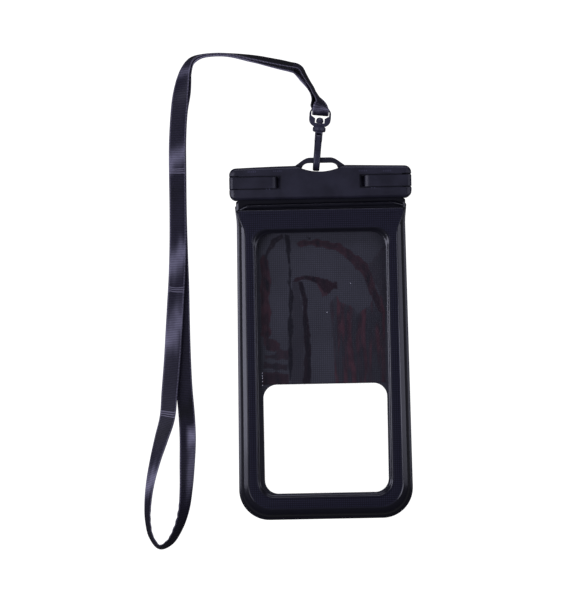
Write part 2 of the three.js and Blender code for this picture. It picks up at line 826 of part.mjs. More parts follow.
// Lanyard ribbon: one closed run from the ring round the neck loop and back.
// Each row is x, y, height of the lower edge, and bank in degrees.

const ribbonRoute = [
  [0.87, 137.9, 5.9, 0],
  [0.85, 137.7, 7.2, 0],
  [0.97, 138.9, 8.6, 0],
  [1.3, 141.5, 9.0, 8],
  [1.5, 144.4, 4.2, 56],
  [-0.2, 147.9, 1.6, 72],
  [-2.6, 151.8, 0.6, 74],
  [-3.9, 154.7, 0.4, 74],
  [-5.7, 157.7, 0.3, 73],
  [-8.4, 162.6, 0.3, 72],
  [-10.8, 167.0, 0.3, 70],
  [-13.4, 168.5, 0.3, 67],
  [-17.2, 169.3, 0.3, 66],
  [-24.5, 170.9, 0.3, 64],
  [-39.3, 173.8, 0.3, 68],
  [-54.1, 176.2, 0.3, 81],
  [-63.0, 176.7, 0.3, 83],
  [-71.5, 176.0, 0.4, 81],
  [-76.6, 174.4, 0.5, 74],
  [-79.9, 171.4, 0.8, 62],
  [-82.3, 166.3, 1.8, 50],
  [-83.6, 160.8, 3.0, 36],
  [-84.9, 153.4, 4.2, 22],
  [-85.9, 146.0, 4.6, 8],
  [-87.0, 134.9, 4.6, 3],
  [-87.9, 120.6, 4.6, 2],
  [-88.2, 102.6, 4.6, 0],
  [-88.3, 82.6, 4.6, 0],
  [-88.7, 60.6, 4.6, 0],
  [-89.6, 40.6, 4.4, 0],
  [-90.8, 24.6, 4.0, 0],
  [-92.2, 6.6, 3.4, 2],
  [-93.6, -11.4, 2.8, 5],
  [-95.6, -31.4, 2.0, 10],
  [-97.3, -47.4, 1.2, 18],
  [-101.2, -60.4, 0.6, 32],
  [-105.0, -73.0, 0.3, 46],
  [-108.4, -87.0, 0.1, 56],
  [-110.2, -100.0, 0.1, 62],
  [-110.4, -111.0, 0.1, 66],
  [-108.4, -121.0, 0.1, 68],
  [-103.4, -127.2, 0.1, 68],
  [-97.2, -124.4, 0.1, 64],
  [-91.6, -115.4, 0.1, 58],
  [-88.0, -104.0, 0.1, 50],
  [-86.4, -91.0, 0.1, 40],
  [-85.6, -77.0, 0.1, 26],
  [-85.0, -61.0, 0.1, 10],
  [-85.4, -47.0, 0.1, 0],
  [-86.6, -29.0, 0.1, 0],
  [-87.2, -9.0, 0.1, 0],
  [-87.4, 12.0, 0.1, 0],
  [-87.4, 33.0, 0.1, 0],
  [-87.8, 56.0, 0.1, 0],
  [-88.0, 80.0, 0.1, 0],
  [-87.8, 104.0, 0.1, 0],
  [-87.4, 126.0, 0.1, -2],
  [-86.0, 142.6, 0.1, -8],
  [-83.6, 153.2, 0.2, -22],
  [-82.3, 160.5, 0.2, -36],
  [-81.0, 165.6, 0.3, -50],
  [-78.8, 170.2, 0.3, -62],
  [-75.6, 173.0, 0.3, -74],
  [-71.0, 174.8, 0.3, -81],
  [-63.0, 175.6, 0.3, -83],
  [-54.1, 175.1, 0.3, -81],
  [-39.5, 172.1, 0.3, -70],
  [-24.8, 168.1, 0.3, -67],
  [-17.4, 166.4, 0.3, -64],
  [-13.8, 165.3, 0.3, -62],
  [-11.5, 163.0, 0.3, -62],
  [-9.2, 160.0, 0.3, -62],
  [-6.6, 156.6, 0.3, -66],
  [-4.6, 152.9, 0.3, -72],
  [-3.3, 149.4, 0.4, -72],
  [-2.2, 146.3, 0.4, -40],
  [0.9, 141.6, 1.2, 0],
  [0.97, 139.0, 2.4, 0],
  [0.85, 137.7, 3.6, 0],
  [0.87, 137.9, 4.7, 0],
];

function ribbonSamples() {
  const bank = ribbonRoute.map((row) => THREE.MathUtils.degToRad(row[3]));
  const centres = ribbonRoute.map(([x, y, lift], i) => {
    const raise = (ribbonWidth / 2) * Math.abs(Math.sin(bank[i]));
    return new THREE.Vector3(x, y, lift + ribbonThickness / 2 + raise);
  });
  const curve = new THREE.CatmullRomCurve3(centres, false, 'centripetal');
  const samples = [];
  for (let k = 0; k <= ribbonSteps; k += 1) {
    const share = k / ribbonSteps;
    const place = share * (bank.length - 1);
    const low = Math.min(Math.floor(place), bank.length - 2);
    const angle = THREE.MathUtils.lerp(bank[low], bank[low + 1], place - low);
    samples.push({ point: curve.getPoint(share), along: curve.getTangent(share), angle });
  }
  return samples;
}

function headings(samples) {
  const level = samples.map(({ along }) => {
    const flat = new THREE.Vector3(along.x, along.y, 0);
    return flat.length() > 0.35 ? flat.normalize() : null;
  });
  for (let i = 1; i < level.length; i += 1) {
    level[i] = level[i] || level[i - 1];
  }
  for (let i = level.length - 2; i >= 0; i -= 1) {
    level[i] = level[i] || level[i + 1];
  }
  return level;
}

function lanyard() {
  const samples = ribbonSamples();
  const level = headings(samples);
  const half = ribbonWidth / 2;
  const thin = ribbonThickness / 2;
  const section = [
    [half, thin * 0.4],
    [half - 0.4, thin],
    [0.4 - half, thin],
    [-half, thin * 0.4],
    [-half, -thin * 0.4],
    [0.4 - half, -thin],
    [half - 0.4, -thin],
    [half, -thin * 0.4],
  ];
  const loops = samples.map(({ point, along, angle }, i) => {
    const left = new THREE.Vector3().crossVectors(AXIS_Z, level[i]);
    const up = new THREE.Vector3().crossVectors(along, left).normalize();
    const across = left.clone().multiplyScalar(Math.cos(angle)).addScaledVector(up, Math.sin(angle));
    const face = up.multiplyScalar(Math.cos(angle)).addScaledVector(left, -Math.sin(angle));
    return section.map(([a, b]) => point.clone().addScaledVector(across, a).addScaledVector(face, b));
  });
  return loft(loops);
}

// The whole pouch

const finishes = {
  barPlastic: { color: 0x16161c, roughness: 0.38 },
  hookPlastic: { color: 0x17171d, roughness: 0.34 },
  frameFilm: { color: 0x1a1a20, roughness: 0.42 },
  clearFilm: { color: 0xe8ecee, roughness: 0.12, transparent: true, opacity: 0.3 },
  sealFoam: { color: 0x2b2b31, roughness: 0.8 },
  steel: { color: 0xb9bbbf, roughness: 0.3, metalness: 1 },
  ribbon: { color: 0x1d1a26, roughness: 0.5 },
};

function piece(name, geometry, finish) {
  const mesh = new THREE.Mesh(geometry, new THREE.MeshStandardMaterial(finish));
  mesh.name = name;
  return mesh;
}

const pouch = new THREE.Group();
pouch.add(piece('back_bar', backBar(), finishes.barPlastic));
pouch.add(piece('front_bar', frontBar(), finishes.barPlastic));
pouch.add(piece('back_seal_strip', sealStrip(clampSplitZ - sealThickness), finishes.sealFoam));
pouch.add(piece('front_seal_strip', sealStrip(matingZ), finishes.sealFoam));

const lever = latchLever();
const latchPin = rodAlong('y', latchPinRadius, latchPinLength, latchPinX, leverY, latchPinZ, 14);
const hingePinX = clampHalf - 0.9 - hingePinLength / 2;
const hingePin = rodAlong('x', hingePinRadius, hingePinLength, hingePinX, hingeY, hingeZ, 14);
const sides = [['left', mirroredX], ['right', (geometry) => geometry]];
sides.forEach(([side, placed]) => {
  pouch.add(piece(`latch_lever_${side}`, placed(lever), finishes.barPlastic));
  pouch.add(piece(`latch_pin_${side}`, placed(latchPin), finishes.steel));
  pouch.add(piece(`hinge_pin_${side}`, placed(hingePin), finishes.steel));
});

pouch.add(piece('front_frame', frontFrame(), finishes.frameFilm));
pouch.add(piece('back_frame', backFrame(), finishes.frameFilm));
pouch.add(piece('front_window', frontWindow(), finishes.clearFilm));
pouch.add(piece('back_window', backWindow(), finishes.clearFilm));

const hook = new THREE.Group();
hook.position.set(hookX, hookBendY, hookAxisZ);
hook.rotation.z = THREE.MathUtils.degToRad(-hookTilt);
hook.add(piece('hook_body', hookBody(), finishes.hookPlastic));
hook.add(piece('hook_gate', hookGate(), finishes.hookPlastic));
hook.add(piece('swivel_eye', swivelEye(), finishes.hookPlastic));
pouch.add(hook);
pouch.add(piece('lanyard_strap', lanyard(), finishes.ribbon));

export default pouch;
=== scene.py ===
"""Dresses a waterproof phone pouch: film frame, clear windows, clamp, hook and neck ribbon."""
import math

import bmesh
import bpy
import numpy as np
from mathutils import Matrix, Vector, noise


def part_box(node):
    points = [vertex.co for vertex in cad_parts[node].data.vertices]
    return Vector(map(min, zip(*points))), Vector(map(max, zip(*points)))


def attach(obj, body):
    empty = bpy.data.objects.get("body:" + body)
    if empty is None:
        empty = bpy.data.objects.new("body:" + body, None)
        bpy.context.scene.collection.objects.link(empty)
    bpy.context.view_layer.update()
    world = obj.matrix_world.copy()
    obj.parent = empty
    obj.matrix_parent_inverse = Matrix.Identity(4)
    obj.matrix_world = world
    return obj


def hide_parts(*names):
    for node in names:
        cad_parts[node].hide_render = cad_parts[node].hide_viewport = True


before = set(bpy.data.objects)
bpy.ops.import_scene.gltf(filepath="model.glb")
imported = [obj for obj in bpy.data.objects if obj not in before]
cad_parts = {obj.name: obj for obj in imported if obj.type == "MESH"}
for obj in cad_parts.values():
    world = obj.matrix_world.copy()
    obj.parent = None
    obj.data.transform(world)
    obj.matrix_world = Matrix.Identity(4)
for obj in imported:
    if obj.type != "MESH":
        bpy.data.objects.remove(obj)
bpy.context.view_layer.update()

bl_info = {
    "name": "Waterproof phone pouch",
    "version": (1, 0, 0),
    "blender": (4, 5, 0),
    "location": "3D View > Sidebar > Pouch",
    "description": "Builds the finish of a clear-window phone pouch with a neck ribbon",
    "category": "Object",
}

MM = 0.001
ROOT = "pouch"


# Sizes and colours a user would change

def measure(name, description, default):
    return bpy.props.FloatProperty(name=name, description=description, default=default, subtype="DISTANCE")


def tint(name, description, default):
    return bpy.props.FloatVectorProperty(
        name=name, description=description, default=default, size=3, subtype="COLOR")


class PouchFrameSizes(bpy.types.PropertyGroup):
    """The puffy film frame round the windows"""
    foot_radius: measure("Foot radius", "Outer corner radius at the pouch's foot", 18.5 * MM)
    shoulder_radius: measure("Shoulder radius", "Outer corner radius under the clamp", 1.2 * MM)
    waist_inset: measure("Waist inset", "How far the waist pulls in below the clamp", 0.9 * MM)
    grid_pitch: measure("Grid pitch", "Spacing of the fine grid pressed into the film", 1.3 * MM)
    film_colour: tint("Film colour", "Black film of the frame", (0.0062, 0.006, 0.0105))
    panel_colour: tint("Panel colour", "Dark panel behind the window", (0.058, 0.058, 0.074))
    cling_colour: tint("Cling colour", "Panel where the window clings to it", (0.0095, 0.0085, 0.0145))
    cling_red: tint("Cling red", "Wine-red edge of the clinging film", (0.08, 0.031, 0.042))


class ClampSizes(bpy.types.PropertyGroup):
    """The clamp bar and its levers"""
    edge_bevel: measure("Edge bevel", "Small round on every moulded edge", 0.22 * MM)
    plastic_colour: tint("Plastic colour", "Moulded plastic of the clamp", (0.017, 0.0165, 0.027))
    grain: measure("Grain", "Size of the satin grain on the plastic", 0.35 * MM)


class RibbonSizes(bpy.types.PropertyGroup):
    """The neck ribbon"""
    width: measure("Width", "Width of the ribbon", 10.2 * MM)
    thickness: measure("Thickness", "Thickness of the ribbon", 0.7 * MM)
    rib_pitch: measure("Rib pitch", "Spacing of the cross ribs", 1.05 * MM)
    colour: tint("Colour", "Satin of the ribbon", (0.0075, 0.0066, 0.0125))
    # This colour is a painted highlight laid on bright patches of the satin
    highlight_colour: tint("Pressed colour", "Satin where a fold has pressed it bright", (0.4, 0.38, 0.5))


class StudioSettings(bpy.types.PropertyGroup):
    """Camera and light"""
    picture_height: measure("Picture height", "Height of the pictured area", 370.0 * MM)
    centre: bpy.props.FloatVectorProperty(
        name="Centre", description="Middle of the pictured area", size=2,
        default=(-17.86 * MM, 23.81 * MM))
    roll: bpy.props.FloatProperty(
        name="Roll", description="How far the camera is rolled", default=math.radians(-1.1), subtype="ANGLE")
    lens: bpy.props.FloatProperty(name="Lens", description="Focal length in mm", default=120.0)
    side_light: bpy.props.FloatProperty(
        name="Side light", description="Power of each side box", default=3.6, subtype="POWER")


# Shader maths

class Socket:
    """Wraps one output socket, so that maths on it reads as Python"""

    def __init__(self, tree, socket):
        self.tree = tree
        self.socket = socket

    def _maths(self, operation, *values):
        return node(self.tree, "ShaderNodeMath", {"operation": operation}, dict(enumerate(values)))

    def __add__(self, other):
        return self._maths("ADD", self, other)

    __radd__ = __add__

    def __sub__(self, other):
        return self._maths("SUBTRACT", self, other)

    def __rsub__(self, other):
        return self._maths("SUBTRACT", other, self)

    def __mul__(self, other):
        return self._maths("MULTIPLY", self, other)

    __rmul__ = __mul__

    def power(self, exponent):
        return self._maths("POWER", self, exponent)

    def sine(self):
        return self._maths("SINE", self)

    def absolute(self):
        return self._maths("ABSOLUTE", self)

    def larger(self, other):
        return self._maths("MAXIMUM", self, other)

    def smaller(self, other):
        return self._maths("MINIMUM", self, other)

    def band(self, low, high):
        """0 below low, 1 above high, smooth between"""
        return node(self.tree, "ShaderNodeMapRange", {"interpolation_type": "SMOOTHSTEP"},
                    {"Value": self, "From Min": low, "From Max": high})


def plug(tree, target, value):
    """Links an input to a socket or gives it a fixed value"""
    if isinstance(value, Socket):
        tree.links.new(value.socket, target)
    else:
        target.default_value = value


def node(tree, kind, settings=None, values=None, output=0):
    """Adds one node: its settings first, then the values or links of its sockets"""
    made = tree.nodes.new(kind)
    for name, value in (settings or {}).items():
        setattr(made, name, value)
    for key, value in (values or {}).items():
        plug(tree, made.inputs[key], value)
    return Socket(tree, made.outputs[output])


def colour(value):
    return (value[0], value[1], value[2], 1.0)


def scaled(value, factor):
    """A colour made lighter or darker"""
    return colour([channel * factor for channel in value])


def mixed(tree, share, first, second):
    """Blends two colours by share"""
    return node(tree, "ShaderNodeMix", {"data_type": "RGBA", "clamp_factor": True},
                {0: share, 6: first, 7: second}, output=2)


def new_material(name):
    material = bpy.data.materials.new(name)
    material.use_nodes = True
    tree = material.node_tree
    tree.nodes.clear()
    output = tree.nodes.new("ShaderNodeOutputMaterial")
    shader = tree.nodes.new("ShaderNodeBsdfPrincipled")
    tree.links.new(shader.outputs[0], output.inputs["Surface"])
    return material, tree, shader


def feed(tree, shader, **values):
    """Sets or links the named inputs of a principled shader"""
    names = {"base": "Base Color", "roughness": "Roughness", "metallic": "Metallic", "alpha": "Alpha",
             "normal": "Normal", "coat": "Coat Weight", "coat_roughness": "Coat Roughness",
             "specular": "Specular IOR Level"}
    for key, value in values.items():
        plug(tree, shader.inputs[names[key]], value)


def bump(tree, height, strength, distance):
    return node(tree, "ShaderNodeBump", None, {"Height": height, "Strength": strength, "Distance": distance})


def object_place(tree):
    return node(tree, "ShaderNodeTexCoord", output=3)


def coordinates(tree, vector):
    split = tree.nodes.new("ShaderNodeSeparateXYZ")
    tree.links.new(vector.socket, split.inputs[0])
    return [Socket(tree, split.outputs[k]) for k in range(3)]


def cloud(tree, place, scale, detail=3.0, roughness=0.5):
    return node(tree, "ShaderNodeTexNoise", None,
                {"Vector": place, "Scale": scale, "Detail": detail, "Roughness": roughness})


def attribute(tree, name):
    return node(tree, "ShaderNodeAttribute", {"attribute_name": name}, output=2)


# Materials

def moulded_plastic(name, base, grain, roughness=0.34):
    """Satin plastic with a fine grain"""
    material, tree, shader = new_material(name)
    place = object_place(tree)
    fine = cloud(tree, place, 1 / grain, 2.0)
    broad = cloud(tree, place, 90.0, 3.0)
    feed(tree, shader,
         base=mixed(tree, broad.band(0.35, 0.7), colour(base), scaled(base, 1.5)),
         roughness=broad * 0.1 + (roughness - 0.05) + fine * 0.04, specular=0.5,
         normal=bump(tree, fine, 0.12, 0.06 * MM))
    return material


def grid_height(tree, place, pitch):
    """A fine square mesh pressed into film: 0 on its lines"""
    across, along, _ = coordinates(tree, place)
    rows = (along * (math.pi / pitch)).sine().absolute()
    columns = (across * (math.pi / pitch)).sine().absolute()
    return rows.power(0.8).smaller(columns.power(0.8))


def frame_film():
    """Glossy film on the frame's slopes, matt with a pressed grid on its flat top"""
    sizes = bpy.context.scene.pouch_frame
    material, tree, shader = new_material("frame_film")
    place = object_place(tree)
    grid = grid_height(tree, place, sizes.grid_pitch)
    textured = attribute(tree, "grained")
    haze = cloud(tree, place, 60.0, 4.0)
    creasing = cloud(tree, place, 260.0, 3.0)
    lines = (1 - grid) * textured
    shade = mixed(tree, haze.band(0.35, 0.75), colour(sizes.film_colour), scaled(sizes.film_colour, 1.35))
    shade = mixed(tree, textured, shade, scaled(sizes.film_colour, 5.0))
    feed(tree, shader,
         base=mixed(tree, lines, shade, scaled(sizes.film_colour, 0.4)),
         roughness=0.42 + haze * 0.1, specular=0.12,
         coat=1.0 - textured * 0.96, coat_roughness=0.17,
         normal=bump(tree, grid * textured + creasing * 0.3, 0.45, 0.14 * MM))
    return material


def panel_film():
    """Grid-pressed film, darker and glossier where the window clings to it"""
    sizes = bpy.context.scene.pouch_frame
    material, tree, shader = new_material("panel_film")
    place = object_place(tree)
    grid = grid_height(tree, place, sizes.grid_pitch)
    haze = cloud(tree, place, 35.0, 4.0)
    wet = attribute(tree, "wet")
    red = attribute(tree, "red")
    lines = 1 - grid
    shade = mixed(tree, haze.band(0.3, 0.75), colour(sizes.panel_colour), scaled(sizes.panel_colour, 1.3))
    dry = mixed(tree, lines * 0.8, shade, scaled(sizes.panel_colour, 0.3))
    wine = mixed(tree, red, colour(sizes.cling_colour), colour(sizes.cling_red))
    feed(tree, shader,
         base=mixed(tree, wet, dry, wine),
         roughness=0.46 + haze * 0.1 - wet * 0.2, specular=0.3,
         normal=bump(tree, grid, 0.3, 0.1 * MM))
    return material


def clear_film(name, shine, alpha):
    """Clear flexible film: only its faint shine is seen"""
    material, tree, shader = new_material(name)
    ripple = cloud(tree, object_place(tree), 28.0, 2.0)
    feed(tree, shader, base=colour(shine), metallic=1.0, roughness=ripple * 0.1 + 0.08, alpha=alpha,
         normal=bump(tree, ripple, 0.2, 0.6 * MM))
    return material


THREAD_PITCH = 0.32 * MM
STITCH_PITCH = 0.9 * MM
# Where the three painted highlight lines of a folded crease lie, from its place along the ribbon
CREASE_LINES = (-0.2 * MM, 1.1 * MM, 2.5 * MM)
# Painted shade for the ribbon's dark patches; below it the selvedge thread's own pale colour, which also
# paints the crease highlights
SHADED_SATIN = (0.002, 0.002, 0.003, 1)
PALE_THREAD_AND_FOLD_HIGHLIGHT = (0.3, 0.28, 0.36, 1)


def ribbon_satin(creases):
    """Ribbed satin with pale selvedge stitches, patches of painted highlight and painted shade, and folded
    creases drawn as painted highlight lines
    """
    sizes = bpy.context.scene.pouch_ribbon
    material, tree, shader = new_material("ribbon_satin")
    weave = node(tree, "ShaderNodeUVMap", {"uv_map": "weave"})
    along, across, _ = coordinates(tree, weave)
    slub = cloud(tree, weave, 220.0, 3.0)
    ribs = ((along + slub * (0.2 * MM)) * (math.pi / sizes.rib_pitch)).sine().absolute()
    threads = (across * (math.pi / THREAD_PITCH)).sine().absolute()
    selvedge = (across - 0.5 * sizes.width).absolute().band(0.4 * sizes.width, 0.44 * sizes.width)
    stitch = (along * (math.pi / STITCH_PITCH)).sine().absolute().band(0.5, 0.75)
    wander = cloud(tree, weave, 90.0, 1.0)
    fold = 0.0
    for place in creases:
        for line in CREASE_LINES:
            gap = (along + wander * (2.2 * MM) - (place + line)).absolute()
            fold = (1 - gap.band(0.15 * MM, 0.4 * MM)) + fold
    # The stitches are pale thread; the fold lines in the same pale colour are painted highlights
    light = (selvedge * stitch * 0.9 + fold).smaller(1.0)
    # Above 0 the satin attribute lays a painted highlight, below 0 painted shade
    painted = attribute(tree, "satin")
    painted_highlight = painted.larger(0.0)
    shaded = (painted * -1).larger(0.0)
    sheen = painted_highlight * (ribs * 0.7 + 0.3) * (slub * 0.7 + 0.6)
    base = mixed(tree, ribs.power(2.0) * 0.7 + slub * 0.3, scaled(sizes.colour, 0.5),
                 scaled(sizes.colour, 4.0))
    base = mixed(tree, sheen.smaller(1.0), base, colour(sizes.highlight_colour))
    base = mixed(tree, shaded * 0.85, base, SHADED_SATIN)
    feed(tree, shader,
         base=mixed(tree, light * 0.7, base, PALE_THREAD_AND_FOLD_HIGHLIGHT),
         roughness=0.36 + slub * 0.14 + selvedge * 0.1 - painted_highlight * 0.06, specular=0.22,
         normal=bump(tree, ribs * 0.8 + threads * 0.15 + light * 0.8, 0.5, 0.14 * MM))
    return material


def plain_steel():
    material, tree, shader = new_material("pin_steel")
    haze = cloud(tree, object_place(tree), 900.0, 2.0)
    feed(tree, shader, base=(0.55, 0.55, 0.57, 1), metallic=1.0, roughness=0.25 + haze * 0.2)
    return material


def seal_foam():
    material, tree, shader = new_material("seal_foam")
    cells = cloud(tree, object_place(tree), 1500.0, 2.0)
    feed(tree, shader,
         base=mixed(tree, cells, (0.02, 0.02, 0.024, 1), (0.05, 0.05, 0.055, 1)),
         roughness=0.85, normal=bump(tree, cells, 0.4, 0.1 * MM))
    return material


def bubble_glint():
    # Tiny weld bubbles coloured near white: their whiteness is a painted glint
    material, tree, shader = new_material("bubble_glint")
    feed(tree, shader, base=(0.8, 0.8, 0.86, 1), roughness=cloud(tree, object_place(tree), 900.0) * 0.2 + 0.2)
    return material


# Mesh helpers

def placed(name, mesh, material):
    """Puts a mesh into the scene as an object with one material"""
    made = bpy.data.objects.new(name, mesh)
    bpy.context.scene.collection.objects.link(made)
    mesh.materials.clear()
    mesh.materials.append(material)
    return made


def object_from(name, vertices, faces, material, smooth=True):
    mesh = bpy.data.meshes.new(name)
    mesh.from_pydata([tuple(v) for v in vertices], [], faces)
    mesh.validate()
    mesh.update()
    if smooth:
        mesh.shade_smooth()
    return placed(name, mesh, material)


def mesh_from(name, work):
    """Turns finished bmesh work into a mesh"""
    mesh = bpy.data.meshes.new(name)
    work.to_mesh(mesh)
    work.free()
    return mesh


def store(made, name, values):
    """Keeps one number for each vertex, for a material to read"""
    layer = made.data.attributes.new(name, "FLOAT", "POINT")
    layer.data.foreach_set("value", values)


def face_outwards(made):
    work = bmesh.new()
    work.from_mesh(made.data)
    bmesh.ops.remove_doubles(work, verts=work.verts, dist=1e-7)
    bmesh.ops.recalc_face_normals(work, faces=work.faces)
    work.to_mesh(made.data)
    work.free()


def settle(made):
    """Applies every modifier, so that the piece is a plain mesh"""
    bpy.context.view_layer.update()
    evaluated = made.evaluated_get(bpy.context.evaluated_depsgraph_get())
    mesh = bpy.data.meshes.new_from_object(evaluated)
    made.modifiers.clear()
    old = made.data
    made.data = mesh
    bpy.data.meshes.remove(old)


def lofted(name, loops, material, ring=False):
    """Joins equal loops of points; a ring closes on its first loop, a bar gets two caps"""
    size = len(loops[0])
    vertices = [p for loop in loops for p in loop]
    faces = []
    bands = len(loops) if ring else len(loops) - 1
    for k in range(bands):
        here = k * size
        following = ((k + 1) % len(loops)) * size
        for i in range(size):
            j = (i + 1) % size
            faces.append((here + i, here + j, following + j, following + i))
    if not ring:
        last = (len(loops) - 1) * size
        faces.append(tuple(range(size)))
        faces.append(tuple(last + i for i in reversed(range(size))))
    made = object_from(name, vertices, faces, material)
    face_outwards(made)
    made.data.shade_smooth()
    return made


def dressed_copy(name, part, body, material, bevel):
    """A copy of a moulded part with its edges rounded and its curves smooth; it stands for that part"""
    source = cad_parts[part]
    made = placed(name, source.data.copy(), material)
    work = bmesh.new()
    work.from_mesh(made.data)
    bmesh.ops.remove_doubles(work, verts=work.verts, dist=2e-6)
    bmesh.ops.dissolve_limit(work, angle_limit=math.radians(1.0), verts=work.verts, edges=work.edges)
    work.to_mesh(made.data)
    work.free()
    made.data.shade_smooth()
    round_off = made.modifiers.new("Round", "BEVEL")
    round_off.width = bevel
    round_off.segments = 2
    round_off.limit_method = "ANGLE"
    round_off.angle_limit = math.radians(35)
    round_off.harden_normals = True
    weighted = made.modifiers.new("Even", "WEIGHTED_NORMAL")
    weighted.keep_sharp = True
    settle(made)
    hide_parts(part)
    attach(made, body)
    return made


def lerp(a, b, share):
    return a + (b - a) * share


def smoothstep(low, high, value):
    share = min(1.0, max(0.0, (value - low) / (high - low)))
    return share * share * (3 - 2 * share)


def spline(points, share):
    """Catmull-Rom through equally spaced rows of numbers"""
    place = min(max(share, 0.0), 1.0) * (len(points) - 1)
    k = min(int(place), len(points) - 2)
    t = place - k
    rows = [points[max(0, k - 1)], points[k], points[k + 1], points[min(len(points) - 1, k + 2)]]
    result = []
    for a, b, c, d in zip(*rows):
        result.append(0.5 * (2 * b + (c - a) * t + (2 * a - 5 * b + 4 * c - d) * t * t
                             + (3 * b - a - 3 * c + d) * t ** 3))
    return result


# Frame outlines, in millimetres

def outline(half_at, centre, top, bottom, top_radius, bottom_radius, side=64, end=30, corner=18):
    """Points round a window or pouch, from the low right side up and round"""
    low = bottom + bottom_radius
    high = top - top_radius
    points = []
    heights = [lerp(low, high, k / side) for k in range(side + 1)]
    right = [(centre + half_at(y), y) for y in heights]

    def turn(x, y, radius, start):
        for k in range(1, corner + 1):
            angle = math.radians(start + 90 * k / corner)
            points.append((x + radius * math.cos(angle), y + radius * math.sin(angle)))

    points.extend(right)
    turn(right[-1][0] - top_radius, high, top_radius, 0)
    top_half = half_at(high) - top_radius
    points.extend((centre + top_half * (1 - 2 * k / end), top) for k in range(1, end + 1))
    turn(centre - top_half, high, top_radius, 90)
    points.extend((2 * centre - x, y) for x, y in reversed(right[:-1]))
    bottom_half = half_at(low) - bottom_radius
    turn(centre - bottom_half, low, bottom_radius, 180)
    points.extend((centre - bottom_half * (1 - 2 * k / end), bottom) for k in range(1, end + 1))
    turn(centre + bottom_half, low, bottom_radius, 270)
    points.pop()
    return points


# The front window, the lower back window (the view) and the pouch's mouth, in the frame's millimetres
WINDOW_TOP = 65.4
WINDOW_BOTTOM = -96.2
WINDOW_HALF = 40.1
WINDOW_CENTRE = -0.3
VIEW_HALF = 38.3
VIEW_CENTRE = 0.7
VIEW_TOP = -28.4
VIEW_BOTTOM = -95.9
VIEW_RADIUS = 8.4
POUCH_TOP = 82.0
CUSHION_TOP = 80.7
MOUTH_HALF = 52.6
WAIST_DROP = 12.0

# The outer slope takes this share of the cushion's band, and less of it along the top edge
SLOPE_SHARE = 0.31
TOP_SLOPE_SHARE = 0.3 * SLOPE_SHARE
# The turn from side to top edge, below the cushion's top
TURN_START = 3.6
TURN_END = 0.8
# The low ridge down the sides: its share of the band, its reach there and its height
RIDGE_SHARE = 0.41
RIDGE_REACH = 0.035
RIDGE_HEIGHT = 0.3
# The cushion's uneven filling raises only what lies above this height
SWELL = 0.25
SWELL_ABOVE = 7.0


def pouch_outline(top=POUCH_TOP):
    """The pouch seen from above, with its mouth, waist and foot"""
    sizes = bpy.context.scene.pouch_frame
    low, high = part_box("front_frame")
    foot_half = high[0] / MM
    bottom = low[1] / MM
    foot_radius = sizes.foot_radius / MM
    waist_y = POUCH_TOP - WAIST_DROP
    waist_half = MOUTH_HALF - sizes.waist_inset / MM
    waist_to_foot = waist_y - bottom - foot_radius

    def half_at(y):
        if y > waist_y:
            return lerp(waist_half, MOUTH_HALF, smoothstep(waist_y, POUCH_TOP, y))
        return lerp(waist_half, foot_half, (waist_y - y) / waist_to_foot)

    return outline(half_at, 0.0, top, bottom, sizes.shoulder_radius / MM, foot_radius)


def window_outline(radius_top=10.0, radius_bottom=9.0):
    return outline(lambda y: WINDOW_HALF, WINDOW_CENTRE, WINDOW_TOP, WINDOW_BOTTOM, radius_top, radius_bottom)


def near_top(y):
    """0 on the cushion's sides and 1 along its top edge"""
    return smoothstep(CUSHION_TOP - TURN_START, CUSHION_TOP - TURN_END, y)


def section_of(profile, steps):
    """A smooth section through a profile's points"""
    return [spline(profile, k / steps) for k in range(steps + 1)]


def frame_loops(section, top=POUCH_TOP, cushion=False):
    """Sweeps a section of (share of the band, height) round the frame; a cushion has ridges on its sides"""
    loops = []
    for (ox, oy), (ix, iy) in zip(pouch_outline(top), window_outline()):
        sideways = abs(ox - ix) / math.hypot(ox - ix, oy - iy)
        slope = lerp(SLOPE_SHARE, TOP_SLOPE_SHARE, near_top(oy)) if cushion else SLOPE_SHARE
        ridge = RIDGE_HEIGHT * smoothstep(0.6, 0.95, sideways) if cushion else 0.0
        swell = SWELL * noise.noise(Vector((ox * 0.03, oy * 0.03, 5.0)))
        loop = []
        for share, z in section:
            rise = ridge * math.exp(-((share - RIDGE_SHARE) / RIDGE_REACH) ** 2)
            puff = swell * math.sin(math.pi * min(1.0, max(0.0, share))) if z > SWELL_ABOVE else 0.0
            if share < SLOPE_SHARE:
                at = share * slope / SLOPE_SHARE
            else:
                at = lerp(slope, 1.0, (share - SLOPE_SHARE) / (1 - SLOPE_SHARE))
            loop.append(Vector((lerp(ox, ix, at) * MM, lerp(oy, iy, at) * MM, (z + rise + puff) * MM)))
        loops.append(loop)
    return loops


# Profiles of the frame: share of the way from the pouch's outline to the window's, and height

FRONT_PROFILE = [
    (0.0, 5.65), (0.0, 6.0), (0.03, 6.15), (0.075, 6.3), (0.1, 6.7), (0.13, 7.5), (0.18, 8.6), (0.24, 9.4),
    (0.31, 9.85), (0.37, 10.05), (0.42, 10.15), (0.46, 10.05), (0.5, 10.0), (0.6, 10.1), (0.72, 10.1),
    (0.82, 10.0), (0.86, 10.15), (0.9, 10.15), (0.935, 9.8), (0.965, 9.25), (1.0, 8.95), (1.0, 8.7),
    (0.9, 8.7), (0.8, 8.7), (0.8, 7.2), (0.8, 5.65), (0.4, 5.65),
]

BACK_PROFILE = [
    (0.0, 4.85), (0.0, 5.25), (0.4, 5.25), (0.8, 5.25), (0.8, 3.6), (0.8, 1.95), (0.78, 1.6), (0.74, 0.8),
    (0.68, 0.2), (0.6, 0.02), (0.42, 0.02), (0.24, 0.05), (0.16, 0.5), (0.1, 1.7), (0.065, 3.6), (0.05, 4.6),
]


# The pressed grid covers the cushion's flat top, between these shares of its band
GRAIN_FROM = 0.43
GRAIN_FROM_AT_TOP = 0.3
GRAIN_TO = 0.84
GRAIN_ABOVE = 9.5


